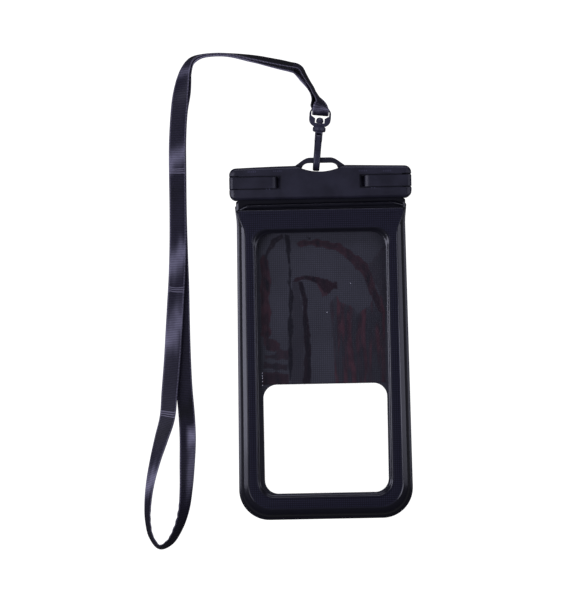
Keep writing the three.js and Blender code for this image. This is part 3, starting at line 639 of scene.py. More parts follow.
def front_frame_piece(material):
    section = section_of(FRONT_PROFILE, 80)
    made = lofted("front_film_frame", frame_loops(section, CUSHION_TOP, cushion=True), material, ring=True)
    grained = []
    for _, y in pouch_outline(CUSHION_TOP):
        start = lerp(GRAIN_FROM, GRAIN_FROM_AT_TOP, near_top(y))
        for share, z in section:
            flat = smoothstep(start, start + 0.05, share) * (1 - smoothstep(GRAIN_TO, GRAIN_TO + 0.06, share))
            grained.append(flat if z > GRAIN_ABOVE else 0.0)
    store(made, "grained", grained)
    return made


def neck(name, z0, z1, low_y, material):
    """One film lip from the cushion up into the clamp, narrower where the clamp holds it"""
    high_y = 101.5
    wide_half = 52.2
    held_half = 49.6
    wide_y = 84.6
    held_y = 86.6
    rows = 16
    columns = 60
    loops = []
    for k in range(rows + 1):
        y = lerp(low_y, high_y, k / rows)
        half = lerp(wide_half, held_half, smoothstep(wide_y, held_y, y))
        xs = [lerp(-half, half, i / columns) for i in range(columns + 1)]
        upper = [Vector((x * MM, y * MM, z1 * MM)) for x in xs]
        lower = [Vector((x * MM, y * MM, z0 * MM)) for x in reversed(xs)]
        loops.append(upper + lower)
    return lofted(name, loops, material)


def mouth_roll(material):
    """The welded roll of film between the clamp and the cushion, curling down at both ends"""
    half = 51.9
    middle_y = 82.1
    middle_z = 8.55
    left_curl = 2.2
    right_curl = 1.4
    lean = 0.008
    steps = 130
    around = 20
    loops = []
    for k in range(steps + 1):
        x = lerp(-half, half, k / steps)
        end = smoothstep(0.86, 1.0, abs(x) / half)
        ripple = noise.noise(Vector((x * 0.18, 1.0, 0.0))) * 0.16
        centre_y = middle_y + ripple + lean * x - end * (left_curl if x < 0 else right_curl)
        centre_z = middle_z - 1.5 * end
        flat = (1.45 - 0.5 * end) * (1 + 0.5 * ripple)
        tall = 1.55 * (1 - 0.72 * smoothstep(0.93, 1.0, abs(x) / half))
        loop = []
        for i in range(around):
            turn = 2 * math.pi * i / around
            loop.append(Vector((x * MM, (centre_y + flat * math.cos(turn)) * MM,
                                (centre_z + tall * math.sin(turn)) * MM)))
        loops.append(loop)
    return lofted("mouth_roll", loops, material)


# The panel's edge lies this share of the way from the pouch's outline to the window's, at two heights
PANEL_SHARE = 0.77
PANEL_LEVELS = (1.9, 2.6)


def back_panel(material):
    """The black sheet behind the pocket, with the view cut out of it"""
    outer = []
    for (ox, oy), (ix, iy) in zip(pouch_outline(), window_outline()):
        outer.append((lerp(ox, ix, PANEL_SHARE), lerp(oy, iy, PANEL_SHARE)))
    hole = outline(lambda y: VIEW_HALF, VIEW_CENTRE, VIEW_TOP, VIEW_BOTTOM, VIEW_RADIUS, VIEW_RADIUS)
    work = bmesh.new()
    levels = []
    for z in PANEL_LEVELS:
        levels.append([[work.verts.new((x * MM, y * MM, z * MM)) for x, y in edge] for edge in (outer, hole)])
    count = len(outer)

    def band(first, second):
        for i in range(count):
            j = (i + 1) % count
            work.faces.new((first[i], first[j], second[j], second[i]))

    for rim, cut in levels:
        band(rim, cut)
    for low, high in zip(*levels):
        band(low, high)
    bmesh.ops.recalc_face_normals(work, faces=work.faces)
    return placed("back_panel", mesh_from("back_panel", work), material)


# Where the window clings to the panel: darkness, redness and outline, listed in millimetres

STREAKED = "streaked"
CLING_PATCHES = [
    (1.0, 0.65, [(-38.0, 49.7), (-36.1, 52.7), (-33.1, 48.5), (-32.0, 42.6), (-32.7, 24.1), (-32.2, 2.5),
                 (-35.6, -0.5), (-38.3, 2.6), (-38.2, 27.3)]),
    (0.9, 0.1, [(-36.5, 48.5), (-34.5, 54.7), (-30.6, 60.6), (-24.3, 64.4), (-23.0, 62.2), (-28.0, 59.2),
                (-32.1, 53.9), (-34.1, 48.0)]),
    (0.95, 0.0, [(-22.3, 64.3), (-19.9, 63.2), (-19.1, 57.0), (-18.6, 35.4), (-18.6, 16.1), (-19.8, -26.3),
                 (-21.8, -26.2), (-20.9, 16.2), (-20.7, 35.4), (-21.6, 54.7)]),
    (1.0, 0.1, [(-14.9, 35.3), (-11.5, 36.3), (-9.8, 23.7), (-8.6, 8.2), (-7.6, -10.3), (-7.7, -28.5),
                (-12.7, -28.4), (-11.4, -10.2), (-11.7, 8.3), (-12.7, 22.2)]),
    (0.45, 0.1, [(-18.9, 34.6), (-14.6, 35.3), (-12.7, 22.2), (-12.0, 8.3), (-11.7, -10.2), (-12.7, -28.4),
                 (-20.7, -28.3)]),
    (1.0, 0.25, [(-20.1, 34.0), (-16.4, 37.4), (-10.2, 39.1), (-4.0, 37.7), (1.3, 35.8), (8.9, 34.1),
                 (9.4, 30.4), (4.3, 27.1), (0.1, 29.0), (-2.6, 34.0), (-10.2, 36.0), (-15.6, 35.0)]),
    (0.8, 0.8, [(-3.3, 34.3), (1.3, 34.2), (3.8, 26.2), (0.1, 25.3)]),
    (0.9, 0.5, [(-16.6, 59.0), (-11.3, 60.7), (-4.4, 60.9), (4.1, 59.9), (11.8, 57.5), (18.2, 53.7),
                (23.1, 50.3), (27.9, 44.8), (31.7, 35.5), (35.3, 27.1), (37.2, 15.0), (34.4, 16.3),
                (30.4, 25.7), (27.2, 33.4), (23.2, 40.9), (18.6, 45.9), (14.1, 50.3), (8.6, 54.6),
                (1.0, 56.3), (-6.7, 57.2), (-12.9, 56.4)]),
    (0.9, STREAKED, [(4.1, 21.5), (8.1, 26.7), (11.1, 22.5), (17.2, 19.8), (21.8, 15.0), (28.0, 18.8),
                     (32.8, 25.6), (36.2, 26.2), (38.9, 15.0), (38.8, -5.0), (38.1, -28.8), (27.1, -28.7),
                     (7.1, -28.8), (6.6, -10.6), (5.6, 7.9)]),
    (0.4, 0.2, [(28.8, 44.5), (34.8, 51.8), (39.5, 56.6), (39.2, 15.0), (36.7, 15.1), (34.8, 26.7),
                (30.9, 35.2)]),
    (0.9, 0.5, [(-37.1, 0.3), (-30.2, -0.3), (-26.9, -3.8), (-28.8, -7.1), (-35.7, -7.3)]),
    (0.75, 0.4, [(-28.0, -5.6), (-21.6, -7.7), (-21.5, -13.4), (-35.8, -12.2), (-36.4, -9.8), (-29.6, -9.9)]),
    (0.8, 0.2, [(-35.9, -14.7), (-22.3, -16.2), (-22.7, -19.6), (-36.7, -17.8)]),
    (0.9, 0.35, [(-37.5, -20.2), (-21.2, -21.6), (-21.1, -28.2), (-37.9, -28.9)]),
    (1.0, 0.0, [(-8.8, 63.3), (-5.6, 62.4), (-6.4, 60.0), (-8.5, 60.7)]),
]


def signed_gap(xs, ys, points):
    """Distance from many places to an outline, negative inside it"""
    best = np.full(xs.shape, 1e9)
    inside = np.zeros(xs.shape, bool)
    for (ax, ay), (bx, by) in zip(points, points[1:] + points[:1]):
        dx, dy = bx - ax, by - ay
        share = np.clip(((xs - ax) * dx + (ys - ay) * dy) / (dx * dx + dy * dy), 0, 1)
        best = np.minimum(best, np.hypot(xs - ax - dx * share, ys - ay - dy * share))
        crossing = (ay > ys) != (by > ys)
        if dy:
            inside ^= crossing & (xs < ax + (ys - ay) * dx / dy)
    return np.where(inside, -best, best)


def noise_at(xs, ys, across, along, seed):
    return np.array([noise.noise(Vector((x * across, y * along, seed))) for x, y in zip(xs, ys)])


def cling_values(xs, ys):
    """How dark and how red the panel is at many places"""
    ragged = noise_at(xs, ys, 0.22, 0.1, 3.0) * 1.5 + noise_at(xs, ys, 0.8, 0.3, 7.0) * 0.6
    runs = noise_at(xs, ys, 0.34, 0.035, 1.0) * 1.7 + noise_at(xs, ys, 0.9, 0.1, 4.0) * 0.6
    streak = np.clip(0.55 + runs, 0, 1)
    blotch = np.clip(0.5 + noise_at(xs, ys, 0.3, 0.14, 9.0) * 1.6, 0, 1)
    wet = np.zeros(xs.shape)
    red = np.zeros(xs.shape)
    for darkness, redness, points in CLING_PATCHES:
        gap = signed_gap(xs, ys, points) + ragged
        cover = np.clip(0.5 - gap / 0.5, 0, 1) * darkness
        rim = np.exp(-((gap + 0.5) / 0.9) ** 2)
        if redness == STREAKED:
            cover = np.clip(cover - 0.5 * np.exp(gap / 3.0) * (1 - streak), 0, 1)
            cover = cover * (0.55 + 0.45 * streak)
            redness = 0.95 * np.clip(1.25 * streak - 0.15, 0, 1)
        redder = redness * np.clip(0.45 * streak + 0.55 * blotch + 0.35 * rim, 0, 1)
        red = np.where(cover > wet, redder, red)
        wet = np.maximum(wet, cover)
    return wet, red


def panel_face(material):
    """The panel's visible face: a fine sheet that carries the cling marks"""
    margin = 1.2
    made = window_sheet("panel_face", WINDOW_HALF + margin, WINDOW_CENTRE, WINDOW_TOP + margin,
                        VIEW_TOP + 0.3, 1.0, 2.72, 0.1, material, wave=0.0, columns=185)
    places = np.array([(v.co.x / MM, v.co.y / MM) for v in made.data.vertices])
    for name, values in zip(("wet", "red"), cling_values(places[:, 0], places[:, 1])):
        store(made, name, values.astype(np.float32))
    return made


def window_sheet(name, half, centre, top, bottom, radius, z, thickness, material, wave=0.12, columns=70):
    """A thin film as a grid, closed at its rim"""
    rows = int(columns * (top - bottom) / (2 * half))
    work = bmesh.new()
    grid = {}
    for j in range(rows + 1):
        y = lerp(bottom, top, j / rows)
        over = min(radius, max(bottom + radius - y, y - top + radius, 0.0))
        inset = radius - math.sqrt(radius ** 2 - over ** 2)
        for i in range(columns + 1):
            x = centre + lerp(-half + inset, half - inset, i / columns)
            lift = wave * noise.noise(Vector((x * 0.05, y * 0.04, 2.0)))
            grid[i, j] = work.verts.new((x * MM, y * MM, (z + lift) * MM))
    for j in range(rows):
        for i in range(columns):
            work.faces.new((grid[i, j], grid[i + 1, j], grid[i + 1, j + 1], grid[i, j + 1]))
    bmesh.ops.remove_doubles(work, verts=work.verts, dist=1e-6)
    made = placed(name, mesh_from(name, work), material)
    made.data.shade_smooth()
    wall = made.modifiers.new("Film", "SOLIDIFY")
    wall.thickness = thickness * MM
    wall.offset = 0
    settle(made)
    return made


# Ribbon route: x, y, height of the lower edge, and bank in degrees; millimetres

RIBBON_ROUTE = [
    (0.87, 137.9, 5.9, 0), (0.85, 137.7, 7.2, 0), (0.97, 138.9, 8.6, 0), (1.3, 141.5, 9.0, 8),
    (1.5, 144.4, 4.2, 56), (-0.2, 147.9, 1.6, 72), (-2.6, 151.8, 0.6, 74), (-3.9, 154.7, 0.4, 74),
    (-5.7, 157.7, 0.3, 73), (-8.4, 162.6, 0.3, 72), (-10.8, 167.0, 0.3, 70), (-13.4, 168.5, 0.3, 67),
    (-17.2, 169.3, 0.3, 66), (-24.5, 170.9, 0.3, 64), (-39.3, 173.8, 0.3, 68), (-54.1, 176.2, 0.3, 81),
    (-63.0, 176.7, 0.3, 83), (-71.5, 176.0, 0.4, 81), (-76.6, 174.4, 0.5, 74), (-79.9, 171.4, 0.8, 62),
    (-82.3, 166.3, 1.8, 50), (-83.6, 160.8, 3.0, 36), (-84.9, 153.4, 4.2, 22), (-85.9, 146.0, 4.6, 8),
    (-87.0, 134.9, 4.6, 3), (-87.9, 120.6, 4.6, 2), (-88.2, 102.6, 4.6, 0), (-88.3, 82.6, 4.6, 0),
    (-88.7, 60.6, 4.6, 0), (-89.6, 40.6, 4.4, 0), (-90.8, 24.6, 4.0, 0), (-92.2, 6.6, 3.4, 2),
    (-93.6, -11.4, 2.8, 5), (-95.6, -31.4, 2.0, 10), (-97.3, -47.4, 1.2, 18), (-101.2, -60.4, 0.6, 32),
    (-105.0, -73.0, 0.3, 46), (-108.4, -87.0, 0.1, 56), (-110.2, -100.0, 0.1, 62),
    (-110.4, -111.0, 0.1, 66), (-108.4, -121.0, 0.1, 68), (-103.4, -127.2, 0.1, 68),
    (-97.2, -124.4, 0.1, 64), (-91.6, -115.4, 0.1, 58), (-88.0, -104.0, 0.1, 50), (-86.4, -91.0, 0.1, 40),
    (-85.6, -77.0, 0.1, 26), (-85.0, -61.0, 0.1, 10), (-85.4, -47.0, 0.1, 0), (-86.6, -29.0, 0.1, 0),
    (-87.2, -9.0, 0.1, 0), (-87.4, 12.0, 0.1, 0), (-87.4, 33.0, 0.1, 0), (-87.8, 56.0, 0.1, 0),
    (-88.0, 80.0, 0.1, 0), (-87.8, 104.0, 0.1, 0), (-87.4, 126.0, 0.1, -2), (-86.0, 142.6, 0.1, -8),
    (-83.6, 153.2, 0.2, -22), (-82.3, 160.5, 0.2, -36), (-81.0, 165.6, 0.3, -50), (-78.8, 170.2, 0.3, -62),
    (-75.6, 173.0, 0.3, -74), (-71.0, 174.8, 0.3, -81), (-63.0, 175.6, 0.3, -83), (-54.1, 175.1, 0.3, -81),
    (-39.5, 172.1, 0.3, -70), (-24.8, 168.1, 0.3, -67), (-17.4, 166.4, 0.3, -64), (-13.8, 165.3, 0.3, -62),
    (-11.5, 163.0, 0.3, -62), (-9.2, 160.0, 0.3, -62), (-6.6, 156.6, 0.3, -66), (-4.6, 152.9, 0.3, -72),
    (-3.3, 149.4, 0.4, -72), (-2.2, 146.3, 0.4, -40), (0.9, 141.6, 1.2, 0), (0.97, 139.0, 2.4, 0),
    (0.85, 137.7, 3.6, 0), (0.87, 137.9, 4.7, 0),
]
RIBBON_SAMPLES = 1200

# Painted highlights and painted shade on the ribbon: 0 for its first half or 1 for its second, x, y, reach,
# strength (below 0 for painted shade) and the edge they keep to, 0 for both
SATIN_PATCHES = [
    (0, -87.6, 113.9, 8.0, 0.6, 0), (0, -88.6, 50.0, 11.0, 0.65, 0), (0, -92.0, 7.0, 17.0, 0.6, 0),
    (0, -108.5, -87.0, 12.0, 0.75, 0), (1, -85.1, -60.5, 10.0, 0.95, -1), (1, -86.4, -84.0, 18.0, 0.5, -1),
    (0, -10.6, 161.2, 7.0, -0.7, 0), (1, -11.6, 160.0, 7.0, 1.3, 0), (0, -82.3, 166.3, 5.0, 0.3, 0),
    (0, 1.3, 141.0, 2.5, 0.45, 0), (1, -85.5, -44.0, 9.0, -0.9, 0), (0, -99.0, -57.0, 9.0, -0.6, 0),
    (0, -106.0, -117.0, 14.0, -0.5, 0), (1, -96.0, -118.0, 14.0, -0.5, 0), (0, -88.0, 92.0, 9.0, -0.4, 0),
]
# Places on the ribbon's first half where it was folded flat
CREASES = [(-87.7, 105.0), (-89.1, 31.1), (-96.7, -45.2)]


def centripetal(points, share):
    """The same curve as the route's: Catmull-Rom with square-root spacing"""
    place = share * (len(points) - 1)
    k = min(int(place), len(points) - 2)
    t = place - k
    first, second = points[k], points[k + 1]
    before = points[k - 1] if k > 0 else first * 2 - second
    after = points[k + 2] if k + 2 < len(points) else second * 2 - first
    gaps = [max(1e-4, (b - a).length ** 0.5) for a, b in ((before, first), (first, second), (second, after))]
    start = ((first - before) / gaps[0] - (second - before) / (gaps[0] + gaps[1])
             + (second - first) / gaps[1]) * gaps[1]
    end = ((second - first) / gaps[1] - (after - first) / (gaps[1] + gaps[2])
           + (after - second) / gaps[2]) * gaps[1]
    return (first * (2 * t ** 3 - 3 * t ** 2 + 1) + start * (t ** 3 - 2 * t ** 2 + t)
            + second * (3 * t ** 2 - 2 * t ** 3) + end * (t ** 3 - t ** 2))


def ribbon_frames():
    """Centre, across and face vectors along the ribbon"""
    sizes = bpy.context.scene.pouch_ribbon
    banks = [math.radians(row[3]) for row in RIBBON_ROUTE]
    centres = []
    for (x, y, lift, _), bank in zip(RIBBON_ROUTE, banks):
        raised = sizes.width / 2 * abs(math.sin(bank))
        centres.append(Vector((x * MM, y * MM, lift * MM + sizes.thickness / 2 + raised)))
    path = [centripetal(centres, k / RIBBON_SAMPLES) for k in range(RIBBON_SAMPLES + 1)]
    tangents = []
    for k in range(len(path)):
        tangents.append((path[min(len(path) - 1, k + 1)] - path[max(0, k - 1)]).normalized())
    level = []
    for along in tangents:
        flat = Vector((along.x, along.y, 0))
        level.append(flat.normalized() if flat.length > 0.35 else None)
    for k in range(1, len(level)):
        level[k] = level[k] or level[k - 1]
    for k in range(len(level) - 2, -1, -1):
        level[k] = level[k] or level[k + 1]
    frames = []
    for k, (point, along, heading) in enumerate(zip(path, tangents, level)):
        bank = spline([(b,) for b in banks], k / RIBBON_SAMPLES)[0]
        left = Vector((0, 0, 1)).cross(heading)
        up = along.cross(left).normalized()
        across = left * math.cos(bank) + up * math.sin(bank)
        face = up * math.cos(bank) - left * math.sin(bank)
        frames.append((point, across, face))
    return frames


def nearest_sample(frames, x, y, half=0):
    """The sample of one half of the ribbon that is nearest to a place seen from above"""
    middle = len(frames) // 2
    span = range(middle) if half == 0 else range(middle, len(frames))
    return min(span, key=lambda k: math.hypot(frames[k][0].x / MM - x, frames[k][0].y / MM - y))


# The ribbon's gathered edge: its pitch, its share of the half width, and the heights y between which it grows
RUFFLE_PITCH = 5.2
RUFFLE_SHARE = 0.06
RUFFLE_FROM = -97
RUFFLE_FULL = -108
# The share the ribbon gains in thickness along the top run, where both strands lie bunched together
BUNCHING = 0.8
BUNCHING_FROM = 171
BUNCHING_FULL = 173.5
# The top run seen from above; its first strand gets painted shade and its second a painted highlight
TOP_RUN_Y = 148
TOP_RUN_X = (-78, -15)
TOP_RUN_SHADE_AND_HIGHLIGHT = (-0.85, 0.55)


def ribbon_section(half, thin):
    """A flat section with blunt edges"""
    columns = 12
    top = []
    for i in range(columns + 1):
        s = lerp(-1, 1, i / columns)
        edge = math.sqrt(max(0.0, 1 - abs(s) ** 10))
        top.append((s * half, thin * lerp(0.35, 1.0, edge)))
    return top + [(a, -b) for a, b in reversed(top)]


def satin_values(frames, run, section, half):
    """For each vertex how strong the ribbon's painted highlight is, or below 0 how strong its painted shade
    """
    centres = [(run[nearest_sample(frames, x, y, side)], reach * MM, strength, edge)
               for side, x, y, reach, strength, edge in SATIN_PATCHES]
    values = []
    for k, (point, _, _) in enumerate(frames):
        on_top_run = point.y > TOP_RUN_Y * MM and TOP_RUN_X[0] * MM < point.x < TOP_RUN_X[1] * MM
        for a, _ in section:
            value = 0.0
            for place, reach, strength, edge in centres:
                wander = noise.noise(Vector((a * 300, run[k] * 60, 0.0)))
                gap = (run[k] - place) / reach + 0.5 * wander + 0.35 * a / half
                keep = smoothstep(-0.3, 0.3, edge * a / half) if edge else 1.0
                value += strength * keep * math.exp(-gap * gap * 2.2)
            if on_top_run:
                value += TOP_RUN_SHADE_AND_HIGHLIGHT[0] if k < len(frames) / 2 else TOP_RUN_SHADE_AND_HIGHLIGHT[1]
            values.append(min(1.0, max(-1.0, value)))
    return values


def ribbon_mesh(loops, run, section, half):
    """Joins the ribbon's loops; its UV map is the place along and across it, in metres"""
    size = len(section)
    faces = []
    uvs = []
    for k in range(len(loops) - 1):
        for i in range(size):
            j = (i + 1) % size
            faces.append((k * size + i, k * size + j, (k + 1) * size + j, (k + 1) * size + i))
            low = section[i][0] + half
            high = section[j][0] + half
            uvs.extend([(run[k], low), (run[k], high), (run[k + 1], high), (run[k + 1], low)])
    last = (len(loops) - 1) * size
    faces.append(tuple(reversed(range(size))))
    faces.append(tuple(last + i for i in range(size)))
    uvs.extend([(0, 0)] * size * 2)
    mesh = bpy.data.meshes.new("neck_ribbon")
    mesh.from_pydata([tuple(p) for loop in loops for p in loop], [], faces)
    layer = mesh.uv_layers.new(name="weave")
    for corner, value in zip(layer.data, uvs):
        corner.uv = value
    mesh.update()
    return mesh


def ribbon_piece():
    """The ribbon, its middle line and its length"""
    sizes = bpy.context.scene.pouch_ribbon
    frames = ribbon_frames()
    half = sizes.width / 2
    section = ribbon_section(half, sizes.thickness / 2)
    run = [0.0]
    for (a, _, _), (b, _, _) in zip(frames, frames[1:]):
        run.append(run[-1] + (b - a).length)
    loops = []
    for k, (point, across, face) in enumerate(frames):
        wave = math.sin(run[k] * math.tau / (RUFFLE_PITCH * MM))
        ruffle = RUFFLE_SHARE * smoothstep(RUFFLE_FROM, RUFFLE_FULL, point.y / MM) * wave
        bunched = 1 + BUNCHING * smoothstep(BUNCHING_FROM, BUNCHING_FULL, point.y / MM)
        loop = []
        for a, b in section:
            stretch = 1 + ruffle if a > 0 else 1.0
            loop.append(point + across * a * stretch + face * b * bunched)
        loops.append(loop)
    folds = [run[nearest_sample(frames, x, y)] for x, y in CREASES]
    made = placed("neck_ribbon", ribbon_mesh(loops, run, section, half), ribbon_satin(folds))
    store(made, "satin", satin_values(frames, run, section, half))
    made.data.shade_smooth()
    if signed_volume(made.data) < 0:
        made.data.flip_normals()
    return made, [point for point, _, _ in frames], run[-1]


def signed_volume(mesh):
    total = 0.0
    for polygon in mesh.polygons:
        points = [mesh.vertices[i].co for i in polygon.vertices]
        for b, c in zip(points[1:], points[2:]):
            total += points[0].dot(b.cross(c))
    return total / 6


# Operators

SENSOR_WIDTH = 36.0
MIDDLE_HEIGHT = 7.0 * MM
FLOOR_HEIGHT = -0.2 * MM


class POUCH_OT_studio(bpy.types.Operator):
    """Sets the camera, the pale floor and the soft lights"""
    bl_idname = "pouch.studio"
    bl_label = "Studio"

    def execute(self, context):
        sizes = context.scene.pouch_studio
        scene = context.scene
        scene.view_settings.view_transform = "Standard"
        camera_data = bpy.data.cameras.new("camera")
        camera = bpy.data.objects.new("camera", camera_data)
        scene.collection.objects.link(camera)
        camera_data.lens = sizes.lens
        camera_data.sensor_width = SENSOR_WIDTH
        distance = sizes.lens * sizes.picture_height / SENSOR_WIDTH
        camera.location = (sizes.centre[0], sizes.centre[1], MIDDLE_HEIGHT + distance)
        camera.rotation_euler = (0, 0, sizes.roll)
        camera_data.clip_start = 0.05
        scene.camera = camera
        self.floor(scene)
        self.lights(scene, sizes)
        return {"FINISHED"}

    def floor(self, scene):
        half = 3.0
        corners = [(x * half, y * half, FLOOR_HEIGHT) for x, y in ((-1, -1), (1, -1), (1, 1), (-1, 1))]
        material, tree, shader = new_material("white_floor")
        feed(tree, shader, base=(0.9, 0.9, 0.9, 1), roughness=0.9)
        light_path = tree.nodes.new("ShaderNodeLightPath")
        seen = Socket(tree, light_path.outputs["Is Camera Ray"])
        glossy = Socket(tree, light_path.outputs["Is Glossy Ray"])
        through = Socket(tree, light_path.outputs["Is Transmission Ray"])
        glow = tree.nodes.new("ShaderNodeEmission")
        glow.inputs["Color"].default_value = (1, 1, 1, 1)
        tree.links.new((seen * 1.15 + 0.05).socket, glow.inputs["Strength"])
        mix = tree.nodes.new("ShaderNodeMixShader")
        output = next(n for n in tree.nodes if n.type == "OUTPUT_MATERIAL")
        share = seen.larger(glossy).larger(through) * 0.92
        tree.links.new(share.socket, mix.inputs[0])
        tree.links.new(shader.outputs[0], mix.inputs[1])
        tree.links.new(glow.outputs[0], mix.inputs[2])
        tree.links.new(mix.outputs[0], output.inputs["Surface"])
        floor = object_from("floor", corners, [(0, 1, 2, 3)], material, smooth=False)

    def lights(self, scene, sizes):
        world = bpy.data.worlds.new("studio")
        scene.world = world
        world.use_nodes = True
        background = world.node_tree.nodes["Background"]
        background.inputs["Color"].default_value = (0.85, 0.85, 1.0, 1)
        background.inputs["Strength"].default_value = 0.05
        boxes = [
            ("box_left", (-0.6, 0.0, 0.5), (0.3, 1.0), sizes.side_light),
            ("box_right", (0.6, 0.0, 0.5), (0.3, 1.0), sizes.side_light * 0.4),
            ("box_top", (0.0, 0.6, 0.4), (0.8, 0.25), sizes.side_light * 0.4),
        ]
        for name, place, size, power in boxes:
            data = bpy.data.lights.new(name, "AREA")
            data.shape = "RECTANGLE"
            data.size, data.size_y = size
            data.energy = power
            data.color = (0.8, 0.8, 1.0)
            lamp = bpy.data.objects.new(name, data)
            scene.collection.objects.link(lamp)
            lamp.location = place
            lamp.rotation_euler = (-Vector(place)).to_track_quat("-Z", "Y").to_euler()


class POUCH_OT_ribbon(bpy.types.Operator):
    """Lays the neck ribbon from the swivel eye round the loop and back"""
    bl_idname = "pouch.ribbon"
    bl_label = "Neck ribbon"

    def execute(self, context):
        made, path, length = ribbon_piece()
        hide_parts("lanyard_strap")
        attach(made, ROOT)
        return {"FINISHED"}


class POUCH_OT_frame(bpy.types.Operator):
    """Makes the puffy film frame, the neck lips and the back panel"""
    bl_idname = "pouch.frame"
    bl_label = "Film frame"

    def execute(self, context):
        film = frame_film()
        front = front_frame_piece(film)
        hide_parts("front_frame")
        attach(front, ROOT)
        back = lofted("back_film_frame", frame_loops(section_of(BACK_PROFILE, 60)), film, ring=True)
        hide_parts("back_frame")
        printed = panel_film()
        face = panel_face(printed)
        panel = back_panel(printed)
        front_lip = neck("front_neck_lip", 7.2, 7.6, 78.5, film)
        back_lip = neck("back_neck_lip", 6.55, 6.95, 81.0, film)
        roll = mouth_roll(film)
        for piece in (back, front_lip, back_lip, roll):
            store(piece, "grained", [0.0] * len(piece.data.vertices))
        for piece in (back, panel, face, front_lip, back_lip, roll):
            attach(piece, ROOT)
        return {"FINISHED"}


class POUCH_OT_windows(bpy.types.Operator):
    """Makes the clear front window and the lower back window"""
    bl_idname = "pouch.windows"
    bl_label = "Windows"

    def execute(self, context):
        weld = 1.6
        front = window_sheet("front_clear_window", WINDOW_HALF + weld, WINDOW_CENTRE, WINDOW_TOP + weld,
                             WINDOW_BOTTOM - weld, 9.0, 8.2, 0.3,
                             clear_film("front_clear_film", (0.9, 0.9, 0.92), 0.02))
        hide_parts("front_window")
        view_weld = 2.4
        back = window_sheet("back_clear_window", VIEW_HALF + view_weld, VIEW_CENTRE, VIEW_TOP + view_weld,
                            VIEW_BOTTOM - view_weld, VIEW_RADIUS, 1.4, 0.3,
                            clear_film("back_clear_film", (0.9, 0.9, 0.92), 0.012))
        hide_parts("back_window")
        for piece in (front, back):
            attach(piece, ROOT)
        return {"FINISHED"}


class POUCH_OT_clamp(bpy.types.Operator):
    """Finishes the clamp halves, the levers, their pins and the seals"""
    bl_idname = "pouch.clamp"
    bl_label = "Clamp"

    def execute(self, context):
        sizes = context.scene.pouch_clamp
        plastic = moulded_plastic("clamp_plastic", sizes.plastic_colour, sizes.grain)
        parts = [
            ("clamp_front_half", "front_bar", "clamp_front"),
            ("clamp_back_half", "back_bar", ROOT),
            ("left_latch_lever", "latch_lever_left", "left_lever"),
            ("right_latch_lever", "latch_lever_right", "right_lever"),
        ]
        for name, part, body in parts:
            made = dressed_copy(name, part, body, plastic, sizes.edge_bevel)
        steel = plain_steel()
        foam = seal_foam()
        finishes = {"latch_pin_left": steel, "latch_pin_right": steel, "hinge_pin_left": steel,
                    "hinge_pin_right": steel, "front_seal_strip": foam, "back_seal_strip": foam}
        for part, finish in finishes.items():
            give_finish(part, finish)
        return {"FINISHED"}


def give_finish(part, finish):
    """Puts a finish on a part that is shown as it was modelled"""
    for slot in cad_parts[part].material_slots:
        slot.material = finish


def repeated(name, places, size, material, rounded=False):
    """One small solid at each place, made by a Geometry Nodes group"""
    tree = bpy.data.node_groups.new(f"{name}_group", "GeometryNodeTree")
    tree.interface.new_socket("Places", in_out="INPUT", socket_type="NodeSocketGeometry")
    size_input = tree.interface.new_socket("Size", in_out="INPUT", socket_type="NodeSocketVector")
    tree.interface.new_socket("Geometry", in_out="OUTPUT", socket_type="NodeSocketGeometry")
    entry = tree.nodes.new("NodeGroupInput")
    leave = tree.nodes.new("NodeGroupOutput")
    solid = tree.nodes.new("GeometryNodeMeshIcoSphere" if rounded else "GeometryNodeMeshCube")
    if rounded:
        solid.inputs["Radius"].default_value = 0.5
        solid.inputs["Subdivisions"].default_value = 3
    spread = tree.nodes.new("GeometryNodeInstanceOnPoints")
    real = tree.nodes.new("GeometryNodeRealizeInstances")
    finish = tree.nodes.new("GeometryNodeSetMaterial")
    finish.inputs["Material"].default_value = material
    tree.links.new(entry.outputs["Places"], spread.inputs["Points"])
    tree.links.new(solid.outputs["Mesh"], spread.inputs["Instance"])
    tree.links.new(entry.outputs["Size"], spread.inputs["Scale"])
    tree.links.new(spread.outputs["Instances"], real.inputs["Geometry"])
    tree.links.new(real.outputs["Geometry"], finish.inputs["Geometry"])
    tree.links.new(finish.outputs["Geometry"], leave.inputs["Geometry"])
    made = object_from(name, [tuple(c * MM for c in place) for place in places], [], material)
    spreading = made.modifiers.new("Repeat", "NODES")
    spreading.node_group = tree
    spreading[size_input.identifier] = [c * MM for c in size]
    settle(made)
    return made


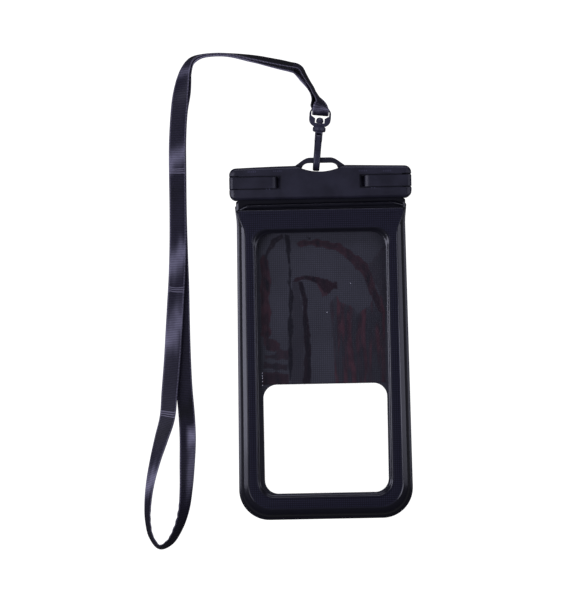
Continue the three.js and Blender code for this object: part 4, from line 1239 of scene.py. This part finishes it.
class POUCH_OT_marks(bpy.types.Operator):
    """Adds the clamp's faint ticks and nubs, lightened as a painted highlight, and the tiny weld bubbles
    beside the window, painted near white as glints
    """
    bl_idname = "pouch.marks"
    bl_label = "Small marks"

    def execute(self, context):
        sizes = context.scene.pouch_clamp
        # The marks are the clamp's plastic made three times lighter: a painted highlight on the small raised
        # ticks and nubs
        raised = moulded_plastic("raised_marks", [c * 3.0 for c in sizes.plastic_colour], sizes.grain)
        clamp_top = 14.0
        tick_pitch = 1.1
        film_top = 8.5
        rows = [(-41.95, 102.9), (-26.2, 103.0), (26.2, 102.3), (41.0, 102.0)]
        ticks = [(x + tick_pitch * k, y, clamp_top) for x, y in rows for k in (-2, -1, 0, 1, 2)]
        pairs = [(-33.0, 92.0), (-31.2, 92.0), (31.4, 91.6), (33.2, 91.6)]
        nubs = [(x, y, clamp_top - 0.05) for x, y in pairs]
        # Places of the weld bubbles painted near white as glints
        bubble_glints = [(-37.9, y, film_top) for y in (-20.9, -22.6, -24.1, -26.0, -28.4)]
        bubble_glints += [(39.9, y, film_top) for y in (-27.3, -29.5, -32.0, -34.7)]
        bubble_glints += [(17.5, 33.4, film_top), (2.65, 15.8, film_top)]
        for name, places, size, rounded in (
            ("clamp_ticks", ticks, (0.45, 1.1, 0.14), False),
            ("latch_nubs", nubs, (0.75, 0.75, 0.4), True),
        ):
            made = repeated(name, places, size, raised, rounded)
            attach(made, "clamp_front")
        made = repeated("film_bubble_glints", bubble_glints, (0.45, 0.6, 0.2), bubble_glint(), rounded=True)
        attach(made, ROOT)
        return {"FINISHED"}


class POUCH_OT_hook(bpy.types.Operator):
    """Finishes the snap hook, its gate and the swivel eye"""
    bl_idname = "pouch.hook"
    bl_label = "Snap hook"

    def execute(self, context):
        sizes = context.scene.pouch_clamp
        plastic = moulded_plastic("hook_plastic", [c * 1.7 for c in sizes.plastic_colour], sizes.grain, 0.3)
        for part, body in (("hook_body", "snap_hook"), ("hook_gate", "gate"), ("swivel_eye", ROOT)):
            made = dressed_copy(f"finished_{part}", part, body, plastic, sizes.edge_bevel * 0.8)
        return {"FINISHED"}


class POUCH_PT_panel(bpy.types.Panel):
    """Lists the pouch's operators"""
    bl_label = "Phone pouch"
    bl_idname = "POUCH_PT_panel"
    bl_space_type = "VIEW_3D"
    bl_region_type = "UI"
    bl_category = "Pouch"

    def draw(self, context):
        for operator in OPERATORS:
            self.layout.operator(operator.bl_idname)


GROUPS = {"pouch_frame": PouchFrameSizes, "pouch_clamp": ClampSizes, "pouch_ribbon": RibbonSizes,
          "pouch_studio": StudioSettings}
OPERATORS = [POUCH_OT_studio, POUCH_OT_frame, POUCH_OT_windows, POUCH_OT_clamp, POUCH_OT_marks,
             POUCH_OT_hook, POUCH_OT_ribbon]


def register():
    for name, group in GROUPS.items():
        bpy.utils.register_class(group)
        setattr(bpy.types.Scene, name, bpy.props.PointerProperty(type=group))
    for kind in OPERATORS + [POUCH_PT_panel]:
        bpy.utils.register_class(kind)


def unregister():
    for kind in reversed(OPERATORS + [POUCH_PT_panel]):
        bpy.utils.unregister_class(kind)
    for name, group in GROUPS.items():
        delattr(bpy.types.Scene, name)
        bpy.utils.unregister_class(group)


def main():
    register()
    bpy.ops.pouch.studio()
    bpy.ops.pouch.frame()
    bpy.ops.pouch.windows()
    bpy.ops.pouch.clamp()
    bpy.ops.pouch.marks()
    bpy.ops.pouch.hook()
    bpy.ops.pouch.ribbon()


if __name__ == "__main__":
    main()
